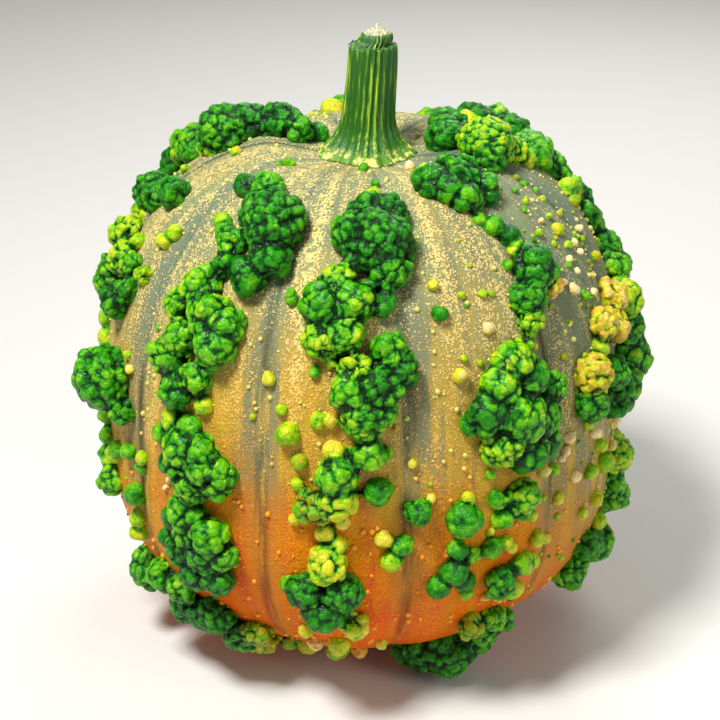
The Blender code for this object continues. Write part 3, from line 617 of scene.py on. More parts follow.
def wart_material(settings):
    """Waxy warts, from dark green through lime to cream, with painted shade nearly black deep between the
    lobes and along their edges, and painted highlights on the lobes' tops.
    """
    material, nodes, shader = new_material("waxy_warts")
    tint = nodes.attribute("tint", "Fac")
    warm = nodes.attribute("warm", "Fac")
    relief = nodes.attribute("relief", "Fac")
    spot = lobe_place(nodes)
    place = nodes.value("ShaderNodeTexCoord", output="Object")
    patches = nodes.noise(place, 120.0, 3.0)
    mottle = nodes.noise(place, 420.0, 4.0)
    # Painted highlight: the lobes' tops, where the relief stands out, lightened towards lime
    lobe_top_highlight = relief.above(0.0, 0.8)
    each_lobe = nodes.cells(spot, 1.0, "Color").math("FRACT")
    ripeness = tint + (patches - 0.5) * 0.5 + (mottle - 0.5) * 0.5 + lobe_top_highlight * 0.2
    ripeness = ripeness + (each_lobe - 0.5) * 0.14
    stops = [(share, srgb(*colour)) for share, colour in TINT_RAMP]
    green = nodes.value("ShaderNodeValToRGB", {"stops": stops}, {"Fac": ripeness})
    tan = nodes.blend(tint.above(0.5, 0.95), settings.bronze, settings.peach)
    body = nodes.blend(warm * mottle.above(0.4, 0.62) * 1.3, green, tan)
    # Painted shade: dark lines along the lobes' edges, weighted by how creased the form is
    creased = nodes.attribute("rough", "Fac").above(0.3, 0.8)
    line = 1 - nodes.cells(spot, 1.0, feature="DISTANCE_TO_EDGE").above(0.0, 0.08)
    fine_line = 1 - nodes.cells(spot, 2.3, feature="DISTANCE_TO_EDGE").above(0.0, 0.1)
    lobe_edge_shade = (line * 0.4 + fine_line * 0.14) * (1 - tint.above(0.35, 0.6) * 0.6)
    # Painted shade: darker where the relief sinks into a crease and along the painted edge lines, blended
    # towards the crease colours
    deep = (0.0 - relief).above(0.0, 0.75) + creased * lobe_edge_shade
    shade = nodes.blend(tint.above(0.4, 0.9), settings.crease, settings.pale_crease)
    colour = nodes.blend(deep.above(-0.05, 0.85) * 0.97, body, shade)
    nodes.feed(shader.inputs["Base Color"], colour)
    nodes.feed(shader.inputs["Roughness"], mottle * 0.3 + 0.17)
    shader.inputs["Specular IOR Level"].default_value = 0.22
    tiny = nodes.cells(spot, 5.0)
    height = nodes.noise(place, 1100.0, 3.0) * 0.4 - tiny * tiny - fine_line * 0.3
    nodes.feed(shader.inputs["Normal"], nodes.bump(0.7, 0.5 * MM, height))
    return material


def dot_material(settings, dots):
    """Tiny raised dots, cream on slate skin and amber where it is ripe."""
    material, nodes, shader = new_material("raised_dots")
    ripe = nodes.attribute("ripe", "Fac")
    pick = nodes.attribute("pick", "Fac")
    pale = nodes.blend(pick, settings.cream, dots.dull_dot)
    colour = nodes.blend(ripe.above(0.35, 0.8), pale, settings.amber)
    nodes.feed(shader.inputs["Base Color"], colour)
    shader.inputs["Roughness"].default_value = 0.45
    return material


def stem_material(settings):
    """Dark green grooves and ridges lightened by a painted highlight, a spotted yellow foot and a dry torn
    tip.
    """
    material, nodes, shader = new_material("ridged_stem")
    ridge = nodes.attribute("ridge", "Fac")
    foot = nodes.attribute("foot", "Fac")
    torn = nodes.attribute("torn", "Fac")
    place = nodes.value("ShaderNodeTexCoord", output="Object")
    streaks = nodes.value("ShaderNodeMapping", None, {"Vector": place, "Scale": (1, 1, 0.06)})
    fibres = nodes.noise(streaks, 1300.0, 3.0)
    worn = nodes.noise(place, 60.0, 2.0)
    # Painted highlight: the ridges lightened from the grooves' green towards the highlight colour, broken
    # by fibres and noise
    lit = ridge * 0.8 + (fibres - 0.5) * 1.9 + (worn - 0.5) * 0.5
    shaft = nodes.blend(lit.above(0.35, 1.15), settings.green, settings.ridge_highlight)
    spots = nodes.noise(place, 330.0, 3.0).above(0.47, 0.62)
    base = nodes.blend(spots, settings.foot_green, settings.foot_yellow)
    colour = nodes.blend((foot + (fibres - 0.5) * 0.5).above(0.45, 0.95), shaft, base)
    dry = nodes.blend(fibres.above(0.35, 0.6), settings.dry, settings.torn)
    colour = nodes.blend((torn + (fibres - 0.5) * 0.6).above(0.4, 0.8), colour, dry)
    nodes.feed(shader.inputs["Base Color"], colour)
    shader.inputs["Roughness"].default_value = 0.5
    nodes.feed(shader.inputs["Normal"], nodes.bump(0.6, 0.6 * MM, fibres))
    return material


def plain_material(name, colour, roughness):
    material, _, shader = new_material(name)
    shader.inputs["Base Color"].default_value = colour
    shader.inputs["Roughness"].default_value = roughness
    return material


def new_tree(name, inputs):
    """A Geometry Nodes tree with a geometry in and out and named inputs: name, kind, default."""
    tree = bpy.data.node_groups.new(name, "GeometryNodeTree")
    tree.interface.new_socket("Geometry", in_out="INPUT", socket_type="NodeSocketGeometry")
    for label, kind, default in inputs:
        socket = tree.interface.new_socket(label, in_out="INPUT", socket_type="NodeSocket" + kind)
        if default is not None:
            socket.default_value = default
    tree.interface.new_socket("Geometry", in_out="OUTPUT", socket_type="NodeSocketGeometry")
    nodes = Nodes(tree)
    group_in = nodes.add("NodeGroupInput")
    given = {socket.name: Value(nodes, socket) for socket in group_in.outputs if socket.name}
    return tree, nodes, given


def end_tree(nodes, geometry, material):
    """Realize Instances, smooth faces and Set Material, into the tree's output."""
    real = nodes.value("GeometryNodeRealizeInstances", None, {"Geometry": geometry})
    smooth = nodes.value("GeometryNodeSetShadeSmooth", None, {"Geometry": real})
    done = nodes.value("GeometryNodeSetMaterial", None, {"Geometry": smooth, "Material": material})
    nodes.add("NodeGroupOutput", None, {"Geometry": done})


def offset_along_normal(nodes, geometry, distance):
    normal = nodes.value("GeometryNodeInputNormal")
    move = nodes.value(
        "ShaderNodeVectorMath", {"operation": "SCALE"}, {"Vector": normal, "Scale": distance}
    )
    return nodes.value("GeometryNodeSetPosition", None, {"Geometry": geometry, "Offset": move})


def wrinkle_tree():
    """Lobes with creases between them, smaller lobes on those, and a slow swell under them."""
    inputs = (
        ("Lobe Depth", "Float", 3 * MM), ("Wrinkle Depth", "Float", 1 * MM),
        ("Swell Size", "Float", 11 * MM), ("Swell Depth", "Float", 0.7 * MM),
        ("Material", "Material", None),
    )
    tree, nodes, given = new_tree("wart_wrinkles", inputs)
    rough = nodes.named_attribute("rough")
    place = lobe_place(nodes)
    lobes = nodes.cells(place, 1.0)
    wrinkles = nodes.cells(place, 2.3)
    height = (0.22 - lobes * lobes) * given["Lobe Depth"]
    height = (height + (0.22 - wrinkles * wrinkles) * given["Wrinkle Depth"]) * rough
    swell = nodes.noise(nodes.value("GeometryNodeInputPosition"), 1.0 / given["Swell Size"], 1.0) - 0.6
    height = height + swell * given["Swell Depth"]
    moved = offset_along_normal(nodes, given["Geometry"], height)
    end_tree(nodes, moved, given["Material"])
    return tree


def relief_tree():
    """A slight unevenness of the rind's surface."""
    inputs = (("Size", "Float", 9 * MM), ("Depth", "Float", 0.5 * MM), ("Material", "Material", None))
    tree, nodes, given = new_tree("rind_relief", inputs)
    place = nodes.value("GeometryNodeInputPosition")
    height = (nodes.noise(place, 1.0 / given["Size"], 2.0) - 0.75) * given["Depth"]
    free = nodes.named_attribute("free")
    moved = offset_along_normal(nodes, given["Geometry"], height * free)
    end_tree(nodes, moved, given["Material"])
    return tree


def scatter_tree():
    """Small balls sunk in a surface, more of them where its attribute "crowd" is high."""
    inputs = (
        ("Density", "Float", 1000.0), ("Smallest", "Float", 0.4 * MM), ("Largest", "Float", 1 * MM),
        ("Seed", "Int", 0), ("Rings", "Int", 5), ("Material", "Material", None),
    )
    tree, nodes, given = new_tree("scattered_balls", inputs)
    where = nodes.named_attribute("crowd")
    spread = nodes.add(
        "GeometryNodeDistributePointsOnFaces", {"distribute_method": "RANDOM"},
        {"Mesh": given["Geometry"], "Density": where * given["Density"], "Seed": given["Seed"]},
    )
    ball = nodes.value(
        "GeometryNodeMeshUVSphere", None, {"Segments": 8, "Rings": given["Rings"], "Radius": 1.0}
    )
    pick = nodes.value(
        "FunctionNodeRandomValue", {"data_type": "FLOAT"}, {2: 0.0, 3: 1.0, "Seed": given["Seed"]}, 1
    )
    size = given["Smallest"] + pick * pick * (given["Largest"] - given["Smallest"])
    placed = nodes.value(
        "GeometryNodeInstanceOnPoints", None,
        {"Points": Value(nodes, spread.outputs["Points"]), "Instance": ball,
         "Rotation": Value(nodes, spread.outputs["Rotation"]), "Scale": size},
    )
    kept = nodes.value(
        "GeometryNodeStoreNamedAttribute", {"data_type": "FLOAT", "domain": "INSTANCE"},
        {"Geometry": placed, "Name": "pick", "Value": pick},
    )
    end_tree(nodes, kept, given["Material"])
    return tree


def run_tree(piece, tree, values):
    """Runs a tree on an object with values for its named inputs, and keeps the result as its mesh."""
    modifier = piece.modifiers.new(tree.name, "NODES")
    modifier.node_group = tree
    for item in tree.interface.items_tree:
        if item.in_out == "INPUT" and item.name in values:
            modifier[item.identifier] = values[item.name]
    keep_result(piece)


def keep_result(piece):
    """Puts what an object's modifiers make in place of its mesh, and removes them."""
    shown = piece.evaluated_get(bpy.context.evaluated_depsgraph_get())
    mesh = bpy.data.meshes.new_from_object(shown)
    piece.modifiers.clear()
    old = piece.data
    piece.data = mesh
    mesh.name = piece.name
    bpy.data.meshes.remove(old)


def new_piece(name, points, faces):
    """An object at the origin with these points and faces, shaded smooth."""
    mesh = bpy.data.meshes.new(name)
    mesh.from_pydata(points, [], faces)
    mesh.shade_smooth()
    piece = bpy.data.objects.new(name, mesh)
    bpy.context.scene.collection.objects.link(piece)
    return piece


def set_attribute(mesh, name, values):
    """Stores a number, or three, for each point."""
    values = np.asarray(values, np.float32)
    kind = "FLOAT" if values.ndim == 1 else "FLOAT_VECTOR"
    layer = mesh.attributes.new(name, kind, "POINT")
    layer.data.foreach_set("value" if values.ndim == 1 else "vector", values.ravel())


def get_attribute(mesh, name):
    values = np.zeros(len(mesh.vertices), np.float32)
    mesh.attributes[name].data.foreach_get("value", values)
    return values


def mesh_points(mesh):
    points = np.empty(len(mesh.vertices) * 3, np.float32)
    mesh.vertices.foreach_get("co", points)
    return points.reshape(-1, 3).astype(float)


def set_mesh_points(mesh, points):
    mesh.vertices.foreach_set("co", np.asarray(points, np.float32).ravel())
    mesh.update()


def mesh_normals(mesh):
    normals = np.empty(len(mesh.vertices) * 3, np.float32)
    mesh.vertex_normals.foreach_get("vector", normals)
    return normals.reshape(-1, 3).astype(float)


def hand_in(piece, slot, *nodes):
    """Makes a finished piece ride on the body and hides the solid nodes that it stands in for."""
    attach(piece, BODY)
    if nodes:
        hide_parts(*nodes)


def band_faces(count, rows):
    """Faces between rows of count points each, facing outwards when the rows go upwards."""
    faces = []
    for row in range(rows - 1):
        for k in range(count):
            after = (k + 1) % count
            low = row * count
            high = low + count
            faces.append((low + k, low + after, high + after, high + k))
    return faces


def closing_faces(count, rows, low_pole, high_pole):
    """Fans that close the first and the last row onto a point each."""
    top = count * (rows - 1)
    low = [(low_pole, (k + 1) % count, k) for k in range(count)]
    high = [(high_pole, top + k, top + (k + 1) % count) for k in range(count)]
    return low + high


def ripeness(longitude, latitude):
    """0 on slate skin, 1 on orange skin."""
    places = [place for place, _ in RIPENING]
    halves = [half for _, half in RIPENING]
    half = np.interp((longitude + 180) % 360 - 180, places, halves)
    return 1 - smoothstep(latitude, half - 34, half + 56)


def pearl_crowd(longitude, latitude):
    """How thickly the small pearls stand: most on the right-hand side of the front."""
    right = smoothstep(longitude, 12, 50) * (1 - smoothstep(longitude, 95, 130))
    return (0.1 + 0.9 * right) * smoothstep(latitude, -50, -20) * (1 - smoothstep(latitude, 62, 76))


def rind_net(skin, columns, rows):
    """Longitudes and latitudes of the rind's net, then its points and faces."""
    longitudes = np.arange(columns) * 360 / columns - 180
    latitudes = -90 + 180 * np.arange(1, rows) / rows
    lat, lon = np.meshgrid(latitudes, longitudes, indexing="ij")
    lon = np.append(lon.ravel(), (0.0, 0.0))
    lat = np.append(lat.ravel(), (-90.0, 90.0))
    points = skin.points(lon, lat)
    points[:, 2] = np.maximum(points[:, 2], 0.0)
    count = len(points)
    faces = band_faces(columns, rows - 1)
    faces += closing_faces(columns, rows - 1, count - 2, count - 1)
    return lon, lat, points, faces


def build_rind(settings, dots):
    """The rind, its tiny raised dots and its pearls."""
    skin = Skin(settings)
    lon, lat, points, faces = rind_net(skin, *RIND_NET)
    piece = new_piece("rind_skin", points, faces)
    mesh = piece.data
    angle = np.radians(lon)
    along = (points[:, 2] - skin.widest) * 100
    round_it = settings.radius * 100
    grain = np.stack([round_it * np.sin(angle), -round_it * np.cos(angle), along * 1.15], -1)
    set_attribute(mesh, "grain", grain)
    set_attribute(mesh, "ripe", ripeness(lon, lat))
    set_attribute(mesh, "furrow", skin.furrow_share(lon))
    set_attribute(mesh, "seam", 1 - smoothstep(skin.from_furrow(lon), 0.3, 1.3))
    set_attribute(mesh, "bare", smoothstep(lon, 36, 58) * (1 - smoothstep(lon, 80, 120)))
    set_attribute(mesh, "free", smoothstep(points[:, 2], 0.0005, 0.01))
    set_attribute(mesh, "crowd", smoothstep(points[:, 2], 0.012, 0.03))
    build_dots(piece, settings, dots)
    build_pearls(piece, lon, lat, dots)
    run_tree(piece, relief_tree(), {"Material": rind_material(settings)})
    hand_in(piece, "rind", "fruit")


def build_scatter(name, rind, values):
    """Balls scattered over the rind, as a piece of their own."""
    piece = bpy.data.objects.new(name, rind.data.copy())
    bpy.context.scene.collection.objects.link(piece)
    run_tree(piece, scatter_tree(), values)
    return piece


def build_dots(rind, settings, dots):
    """The tiny raised dots, all over the rind."""
    values = {
        "Density": dots.dot_density, "Smallest": 0.3 * dots.dot_radius, "Largest": dots.dot_radius,
        "Rings": 4, "Material": dot_material(settings, dots), "Seed": dots.seed,
    }
    hand_in(build_scatter("raised_dots", rind, values), "rind", "fruit")


def build_pearls(rind, lon, lat, dots):
    """The small pearls, with a tint each and the attributes that the warts' material reads."""
    crowd = rind.data.attributes["crowd"]
    crowd.data.foreach_set("value", np.asarray(pearl_crowd(lon, lat), np.float32))
    values = {
        "Density": dots.pearl_density, "Smallest": 0.4 * dots.pearl_radius,
        "Largest": dots.pearl_radius, "Rings": 6, "Material": bpy.data.materials["waxy_warts"],
        "Seed": dots.seed + 1,
    }
    piece = build_scatter("pearls", rind, values)
    pick = get_attribute(piece.data, "pick")
    set_attribute(piece.data, "tint", 0.36 + 0.45 * ((pick * 7.3) % 1))
    set_attribute(piece.data, "warm", 0.5 * ((pick * 13.1) % 1))
    set_attribute(piece.data, "relief", np.zeros(len(pick)))
    set_attribute(piece.data, "rough", np.zeros(len(pick)))
    set_attribute(piece.data, "spot", mesh_points(piece.data) / (4 * MM))
    hand_in(piece, "rind", "fruit")


def unit_ball(subdivisions):
    """Points and faces of a ball of radius 1."""
    mesh = bmesh.new()
    bmesh.ops.create_icosphere(mesh, subdivisions=subdivisions, radius=1)
    points = np.array([vert.co for vert in mesh.verts])
    faces = np.array([[vert.index for vert in face.verts] for face in mesh.faces])
    mesh.free()
    return points, faces


def spread_directions(draw, count, loosen):
    """Directions spread evenly over a ball in a spiral, then loosened at random."""
    turn = math.pi * (3 - math.sqrt(5))
    k = np.arange(count)
    height = 1 - 2 * (k + 0.5) / count
    level = np.sqrt(1 - height**2)
    angle = turn * k + draw.uniform(0, 2 * math.pi)
    directions = np.stack([level * np.cos(angle), level * np.sin(angle), height], -1)
    directions += draw.normal(0, loosen, directions.shape)
    return directions / np.linalg.norm(directions, axis=1, keepdims=True)


class Wart:
    """One knob: where it stands, how big it is, its form and its tint."""

    def __init__(self, skin, raise_share, longitude, latitude, radius, look):
        self.radius = radius * MM
        self.form = look[0]
        self.tint, self.warm = TINTS[look[1]]
        self.outward, self.east, self.north = skin.directions(longitude, latitude)
        if self.form == "s":
            raise_share *= 0.6
        self.middle = skin.points(longitude, latitude) + self.outward * self.radius * raise_share

    def balls(self, draw):
        """The balls that fuse into this knob, as middles and radii."""
        if self.form == "s" or self.radius < SMALLEST_LOBED:
            return self.smooth_balls(draw)
        self.radius *= LOBED_SWELL
        share = LUMP_SHARES[self.form]
        count = int(LUMPS * ((1 - share) / share) ** 2)
        ways = spread_directions(draw, count, 0.16)
        ways = ways[ways @ self.outward > -0.45]
        sizes = self.radius * share * draw.uniform(0.7, 1.25, len(ways))
        reach = self.radius * draw.uniform(1.0, 1.1, len(ways)) - sizes
        middles = self.middle + ways * reach[:, None]
        middles, sizes = self.fold(draw, ways, middles, sizes)
        return np.vstack([self.middle, middles]), np.append(KNOB_CORE * self.radius, sizes)

    def fold(self, draw, ways, middles, sizes):
        """Draws some lobes out into short folds: all of them on a brain-like knob, else a third."""
        folded = draw.uniform(0, 1, len(ways)) < (1.0 if self.form == "b" else 0.3)
        sideways = np.cross(ways, draw.normal(size=ways.shape))
        sideways /= np.linalg.norm(sideways, axis=1, keepdims=True)
        step = (sideways * sizes[:, None])[folded]
        extra = [middles]
        extra_sizes = [sizes]
        for share in (0.8, -0.8):
            extra.append(middles[folded] + step * share - ways[folded] * sizes[folded, None] * 0.1)
            extra_sizes.append(sizes[folded] * 0.9)
        return np.vstack(extra), np.concatenate(extra_sizes)

    def smooth_balls(self, draw):
        """A pea-like knob: a ball and three more that keep it from being quite round."""
        ways = spread_directions(draw, 3, 0.3)
        middles = np.vstack([self.middle, self.middle + ways * self.radius * 0.32])
        return middles, self.radius * np.array(PEA_SHARES)


def far_warts():
    """The far side's warts, as (longitude, latitude, radius in mm, look), where the solid has them."""
    draw = random.Random(FAR_SEED)
    knobs = []
    for crest in FAR_CRESTS:
        latitude = draw.uniform(*FAR_TOP_LATITUDES)
        while latitude > FAR_LOWEST_LATITUDE:
            knobs += far_cluster(draw, crest + draw.uniform(-5, 5), latitude)
            latitude -= draw.uniform(*FAR_STEP)
    for _ in range(FAR_SINGLES):
        knobs.append((draw.uniform(100, 258), draw.uniform(-35, 62), draw.uniform(2.6, 4.6)))
    looks = random.Random(FAR_SEED + 1)
    return [(*knob, looks.choice(FAR_LOOKS if knob[2] > 4.6 else FAR_SMALL_LOOKS)) for knob in knobs]


def far_cluster(draw, longitude, latitude):
    """A main knob with four to six smaller ones round it."""
    radius = draw.uniform(*FAR_KNOB_RADIUS)
    knobs = [(longitude, latitude, radius)]
    around = draw.randint(4, 6)
    for k in range(around):
        angle = 2 * math.pi * (k + draw.uniform(-0.25, 0.25)) / around
        spread = draw.uniform(3.4, 6)
        beside = spread * math.cos(angle) / math.cos(math.radians(latitude))
        above = spread * math.sin(angle)
        knobs.append((longitude + beside, latitude + above, radius * draw.uniform(0.55, 0.95)))
    return knobs


def fused_balls(name, warts, draw, voxel):
    """One closed mesh of all the balls of these warts, fused on a fine grid."""
    balls = [unit_ball(subdivisions) for subdivisions in (1, 2, 3)]
    points = []
    faces = []
    start = 0
    for wart in warts:
        middles, sizes = wart.balls(draw)
        for middle, size in zip(middles, sizes):
            ball_points, ball_faces = balls[int(size > COARSE_BALL) + int(size > FINE_BALL)]
            points.append(middle + ball_points * size)
            faces.append(start + ball_faces)
            start += len(ball_points)
    piece = new_piece(name, np.concatenate(points), np.concatenate(faces))
    fuse = piece.modifiers.new("fuse", "REMESH")
    fuse.mode = "VOXEL"
    fuse.voxel_size = voxel
    keep_result(piece)
    return piece


def nearest_wart(points, warts):
    """For each point, the number of the wart whose ball it lies nearest to."""
    middles = np.array([wart.middle for wart in warts])
    radii = np.array([wart.radius for wart in warts])
    nearest = np.empty(len(points), int)
    for start in range(0, len(points), 4000):
        part = points[start:start + 4000]
        gaps = np.linalg.norm(part[:, None] - middles[None], axis=2) / radii
        nearest[start:start + 4000] = gaps.argmin(1)
    return nearest


def spread_over_edges(mesh, values, rounds):
    """Averages values with those of neighbouring points, again and again."""
    edges = np.empty(len(mesh.edges) * 2, np.int32)
    mesh.edges.foreach_get("vertices", edges)
    first, second = edges.reshape(-1, 2).T
    count = len(mesh.vertices)
    shares = 1.0 / (1 + np.bincount(first, minlength=count) + np.bincount(second, minlength=count))
    columns = values.reshape(count, -1).T.copy()
    for _ in range(rounds):
        for k, column in enumerate(columns):
            total = column + np.bincount(first, column[second], count)
            total += np.bincount(second, column[first], count)
            columns[k] = total * shares
    return columns.T.reshape(values.shape)


def soften(mesh, where):
    """Rounds off the lumps and fills the gaps between them, where it says so."""
    points = mesh_points(mesh)
    share = spread_over_edges(mesh, where.astype(float), 6)[:, None]
    smooth = spread_over_edges(mesh, points, 7)
    set_mesh_points(mesh, points + (smooth - points) * share)


def relief_of(mesh, rounds, depth):
    """How far each point stands out of the surface round it: 1 on a lobe, -1 deep in a crease."""
    points = mesh_points(mesh)
    smooth = spread_over_edges(mesh, points, rounds)
    return np.clip(((points - smooth) * mesh_normals(mesh)).sum(1) / depth, -1, 1)


def build_warts(context, name, warts, voxel):
    """A piece of fused warts with their fine wrinkles, tints and creases."""
    settings = context.scene.squash_warts
    draw = np.random.default_rng([settings.seed, len(warts), len(name)])
    piece = fused_balls(name, warts, draw, voxel)
    nearest = nearest_wart(mesh_points(piece.data), warts)
    soften(piece.data, np.array([wart.form != "s" for wart in warts])[nearest])
    rough = np.array([CREASING[wart.form] for wart in warts])[nearest]
    set_attribute(piece.data, "rough", spread_over_edges(piece.data, rough, 4))
    widths = np.array([LOBE_WIDTHS[wart.form] * MM for wart in warts])[nearest]
    shifts = draw.uniform(-50, 50, (len(warts), 3))[nearest]
    set_attribute(piece.data, "spot", mesh_points(piece.data) / widths[:, None] + shifts)
    tree = bpy.data.node_groups.get("wart_wrinkles") or wrinkle_tree()
    material = bpy.data.materials["waxy_warts"]
    values = {
        "Lobe Depth": settings.lobe_depth, "Wrinkle Depth": settings.wrinkle_depth,
        "Material": material,
    }
    run_tree(piece, tree, values)
    mesh = piece.data
    tint = np.array([wart.tint for wart in warts]) + draw.uniform(-0.06, 0.06, len(warts))
    warm = np.array([wart.warm for wart in warts])
    set_attribute(mesh, "tint", spread_over_edges(mesh, tint[nearest], 5))
    set_attribute(mesh, "warm", spread_over_edges(mesh, warm[nearest], 5))
    # Relief: drives the painted shade in the creases and the painted highlights on the lobes' tops
    relief = 0.55 * relief_of(mesh, *FINE_RELIEF) + 0.6 * relief_of(mesh, *BROAD_RELIEF)
    set_attribute(mesh, "relief", relief)
    hold_inside_box(mesh)
    hand_in(piece, "rind", "fruit")


def hold_inside_box(mesh):
    """Keeps a mesh's points inside the solid fruit's box, and above what it rests on."""
    low = np.array(FRUIT_LOW)
    high = np.array(FRUIT_HIGH)
    set_mesh_points(mesh, np.clip(mesh_points(mesh), low, high))


def stem_outline(settings):
    """Heights of the stem's rings above the seat, and the radius of the crests at each."""
    foot = np.linspace(0, 12 * MM, 22)
    shaft = np.linspace(13 * MM, settings.length, 30)
    heights = np.concatenate([foot, shaft])
    flare = (settings.foot_radius - settings.radius) * np.exp(-((heights / settings.flare_height) ** 1.3))
    return heights, settings.radius + flare + settings.taper * (1 - heights / settings.length)


class Ring:
    """One ring of the stem's points: heights, reaches, twist and shift to the right, and its shades."""

    def __init__(self, level, reach, twist, aside, shades):
        self.level = level
        self.reach = reach
        self.twist = twist
        self.aside = aside
        self.shades = shades

    def points(self, settings, angle):
        middle = (STEM_LOW.x + STEM_HIGH.x) / 2 + STEM_SHIFT + self.aside
        x = middle + settings.lean * self.level / settings.length + self.reach * np.sin(angle + self.twist)
        y = -self.reach * np.cos(angle + self.twist)
        return np.stack([x, y, STEM_LOW.z + np.maximum(self.level, 0)], -1)


def stem_ridges(angle):
    """1 on a ridge and 0 in a groove: ridges that wander round the stem and differ in height."""
    wander = 1.2 * np.sin(2 * angle + 0.7) + 0.9 * np.sin(3 * angle + 2.0) + 0.8 * np.sin(5 * angle)
    ridge = np.abs(np.cos((angle * STEM_RIDGES + wander) / 2)) ** 1.3
    return ridge * (0.7 + 0.3 * np.sin(4 * angle + 1.3))


def shaft_rings(settings, angle, ridge, ridge_length, fibre):
    """The rings of the foot and the shaft, whose ridges end at different heights."""
    rings = []
    for height, radius in zip(*stem_outline(settings)):
        footing = math.exp(-((height / settings.flare_height) ** 2))
        level = height + ridge_length * smoothstep(height, 0.8 * settings.length, settings.length)
        reach = radius - settings.ridge_depth * (1 + footing) * (1 - ridge) + fibre * 0.12 * MM
        bulge = 0.03 * np.sin(3 * angle + 90 * height) + 0.05 * footing * np.sin(5 * angle + 1)
        twist = STEM_TWIST * height / settings.length
        shades = (ridge, np.full(len(angle), footing), np.zeros(len(angle)))
        rings.append(Ring(level, reach * (1 + bulge), twist, 0.0, shades))
    return rings


def torn_rings(settings, ridge, fibre):
    """The rings of the torn top: a stump that narrows to a frayed peak."""
    rise = STEM_HIGH.z - STEM_LOW.z - settings.length - 0.5 * MM
    rings = []
    for share, narrowing in TORN_NARROWING:
        level = settings.length + rise * share + fibre * 1.6 * MM * share * (1 - share)
        reach = settings.radius * narrowing * (1 + 0.1 * fibre) * (0.93 + 0.07 * ridge)
        aside = 1.6 * MM * smoothstep(share, 0, 0.4)
        frayed = 0.8 * smoothstep(share, 0.5, 0.64) + 0.4 * math.exp(-((share - 0.07) / 0.03) ** 2)
        shades = (ridge * 0.8, np.zeros(len(fibre)), frayed + 0.2 * fibre)
        rings.append(Ring(level, reach, STEM_TWIST, aside, shades))
    return rings


def build_stem(settings):
    """The ridged shaft with its flared, lobed foot and its torn top."""
    draw = np.random.default_rng(STEM_SEED)
    columns = STEM_RIDGES * COLUMNS_PER_RIDGE
    angle = 2 * math.pi * np.arange(columns) / columns
    ridge = stem_ridges(angle)
    ridge_length = draw.uniform(-2.0, 1.0, STEM_RIDGES) * MM
    nearest = np.round(angle * STEM_RIDGES / (2 * math.pi)).astype(int) % STEM_RIDGES
    fibre = draw.uniform(-1, 1, columns)
    rings = shaft_rings(settings, angle, ridge, ridge_length[nearest], fibre)
    rings += torn_rings(settings, ridge, fibre)
    points = np.concatenate([ring.points(settings, angle) for ring in rings])
    foot_x = points[:columns, 0].mean()
    peak_x = points[-columns:, 0].mean()
    points = np.vstack([points, (foot_x, 0, STEM_LOW.z), (peak_x, 0, STEM_HIGH.z)])
    points = np.clip(points, np.array(STEM_LOW), np.array(STEM_HIGH))
    count = len(points)
    faces = band_faces(columns, len(rings)) + closing_faces(columns, len(rings), count - 2, count - 1)
    piece = new_piece("cut_stem", points, faces)
    for k, name in enumerate(("ridge", "foot", "torn")):
        values = np.concatenate([ring.shades[k] for ring in rings])
        set_attribute(piece.data, name, np.append(values, (values[0], values[-1])))
    piece.data.materials.append(stem_material(settings))
    hand_in(piece, "green_wood", "stem")


def build_floor(settings):
    corners = [(-1, -1), (1, -1), (1, 1), (-1, 1)]
    floor = new_piece("floor", [(x * FLOOR_REACH, y * FLOOR_REACH, 0) for x, y in corners], [(0, 1, 2, 3)])
    floor.data.materials.append(plain_material("pale_floor", settings.floor_colour, 0.7))


def build_camera(settings):
    """The camera, at the side and the height that the squash is seen from."""
    camera = bpy.data.objects.new("camera", bpy.data.cameras.new("camera"))
    camera.data.lens = settings.lens
    camera.data.sensor_width = 36
    camera.data.clip_start = 0.01
    back = Vector((0, -math.cos(settings.pitch), math.sin(settings.pitch)))
    camera.location = Vector(AIM) + back * settings.distance
    camera.rotation_euler = (math.pi / 2 - settings.pitch, 0, 0)
    bpy.context.scene.collection.objects.link(camera)
    bpy.context.scene.camera = camera


def build_lights():
    """Three soft lights that face the squash, in a dim even sky."""
    for name, (place, size, power) in LIGHTS.items():
        light = bpy.data.objects.new(name, bpy.data.lights.new(name, "AREA"))
        light.data.size = size
        light.data.energy = power
        light.location = place
        light.rotation_euler = (Vector(AIM) - Vector(place)).to_track_quat("-Z", "Y").to_euler()
        bpy.context.scene.collection.objects.link(light)
    world = bpy.data.worlds.new("studio")
    world.use_nodes = True
    sky = world.node_tree.nodes["Background"]
    sky.inputs["Color"].default_value = (1, 1, 1, 1)
    sky.inputs["Strength"].default_value = SKY_LIGHT
    bpy.context.scene.world = world
    bpy.context.scene.view_settings.view_transform = "Standard"


class SQUASH_OT_stage(Operator):
    """Add the floor, the lights and the camera"""

    bl_idname = "squash.stage"
    bl_label = "Stage"

    def execute(self, context):
        settings = context.scene.squash_stage
        build_floor(settings)
        build_camera(settings)
        build_lights()
        return {"FINISHED"}


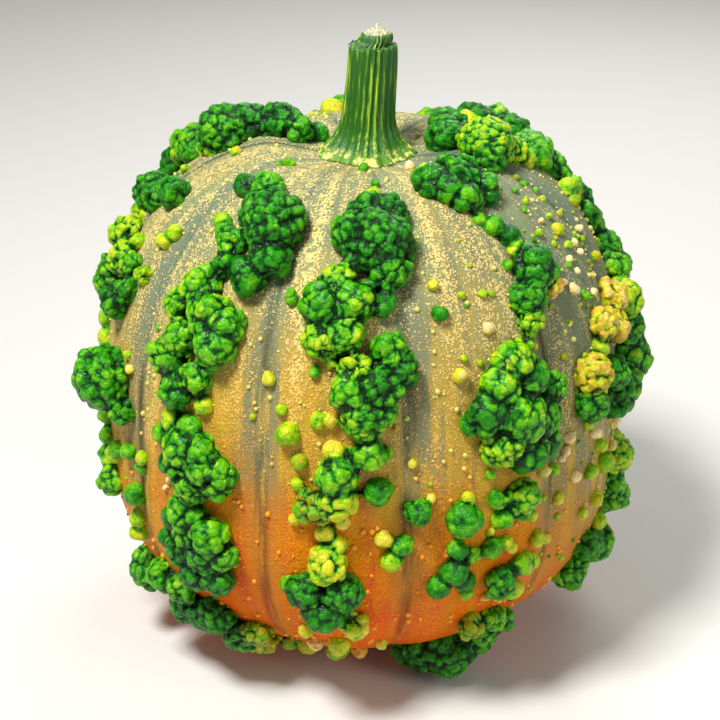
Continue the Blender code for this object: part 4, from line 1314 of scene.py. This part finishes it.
class SQUASH_OT_warts(Operator):
    """Add the clusters of lobed warts, front and far side"""

    bl_idname = "squash.warts"
    bl_label = "Warts"

    def execute(self, context):
        settings = context.scene.squash_warts
        wart_material(settings)
        skin = Skin(context.scene.squash_rind)
        groups = {
            name: [knob for cluster in clusters for knob in SHOWN_WARTS[cluster]]
            for name, clusters in WART_PIECES.items()
        }
        far = far_warts()
        half = len(far) // 2
        groups["warts_far_a"] = far[:half]
        groups["warts_far_b"] = far[half:]
        for name, knobs in groups.items():
            warts = [Wart(skin, settings.raise_share, *knob) for knob in knobs]
            voxel = settings.far_voxel if "far" in name else settings.voxel
            build_warts(context, name, warts, voxel)
        return {"FINISHED"}


class SQUASH_OT_rind(Operator):
    """Add the ribbed rind with its raised dots and small pearls"""

    bl_idname = "squash.rind"
    bl_label = "Rind"

    def execute(self, context):
        build_rind(context.scene.squash_rind, context.scene.squash_dots)
        return {"FINISHED"}


class SQUASH_OT_stem(Operator):
    """Add the cut stem"""

    bl_idname = "squash.stem"
    bl_label = "Stem"

    def execute(self, context):
        build_stem(context.scene.squash_stem)
        return {"FINISHED"}


class SQUASH_PT_panel(Panel):
    """Lists the squash's pieces in the sidebar"""

    bl_idname = "SQUASH_PT_panel"
    bl_label = "Squash"
    bl_space_type = "VIEW_3D"
    bl_region_type = "UI"
    bl_category = "Squash"

    def draw(self, context):
        for operator in OPERATORS:
            self.layout.operator(operator.bl_idname)


OPERATORS = (SQUASH_OT_stage, SQUASH_OT_warts, SQUASH_OT_rind, SQUASH_OT_stem)
SETTINGS = {
    "squash_rind": RindSettings, "squash_warts": WartSettings, "squash_dots": DotSettings,
    "squash_stem": StemSettings, "squash_stage": StageSettings,
}


def register():
    for name, group in SETTINGS.items():
        bpy.utils.register_class(group)
        setattr(bpy.types.Scene, name, PointerProperty(type=group))
    for operator in (*OPERATORS, SQUASH_PT_panel):
        bpy.utils.register_class(operator)


def unregister():
    for operator in reversed((*OPERATORS, SQUASH_PT_panel)):
        bpy.utils.unregister_class(operator)
    for name, group in reversed(SETTINGS.items()):
        delattr(bpy.types.Scene, name)
        bpy.utils.unregister_class(group)


def main():
    register()
    for operator in OPERATORS:
        space, name = operator.bl_idname.split(".")
        getattr(getattr(bpy.ops, space), name)()


if __name__ == "__main__":
    main()
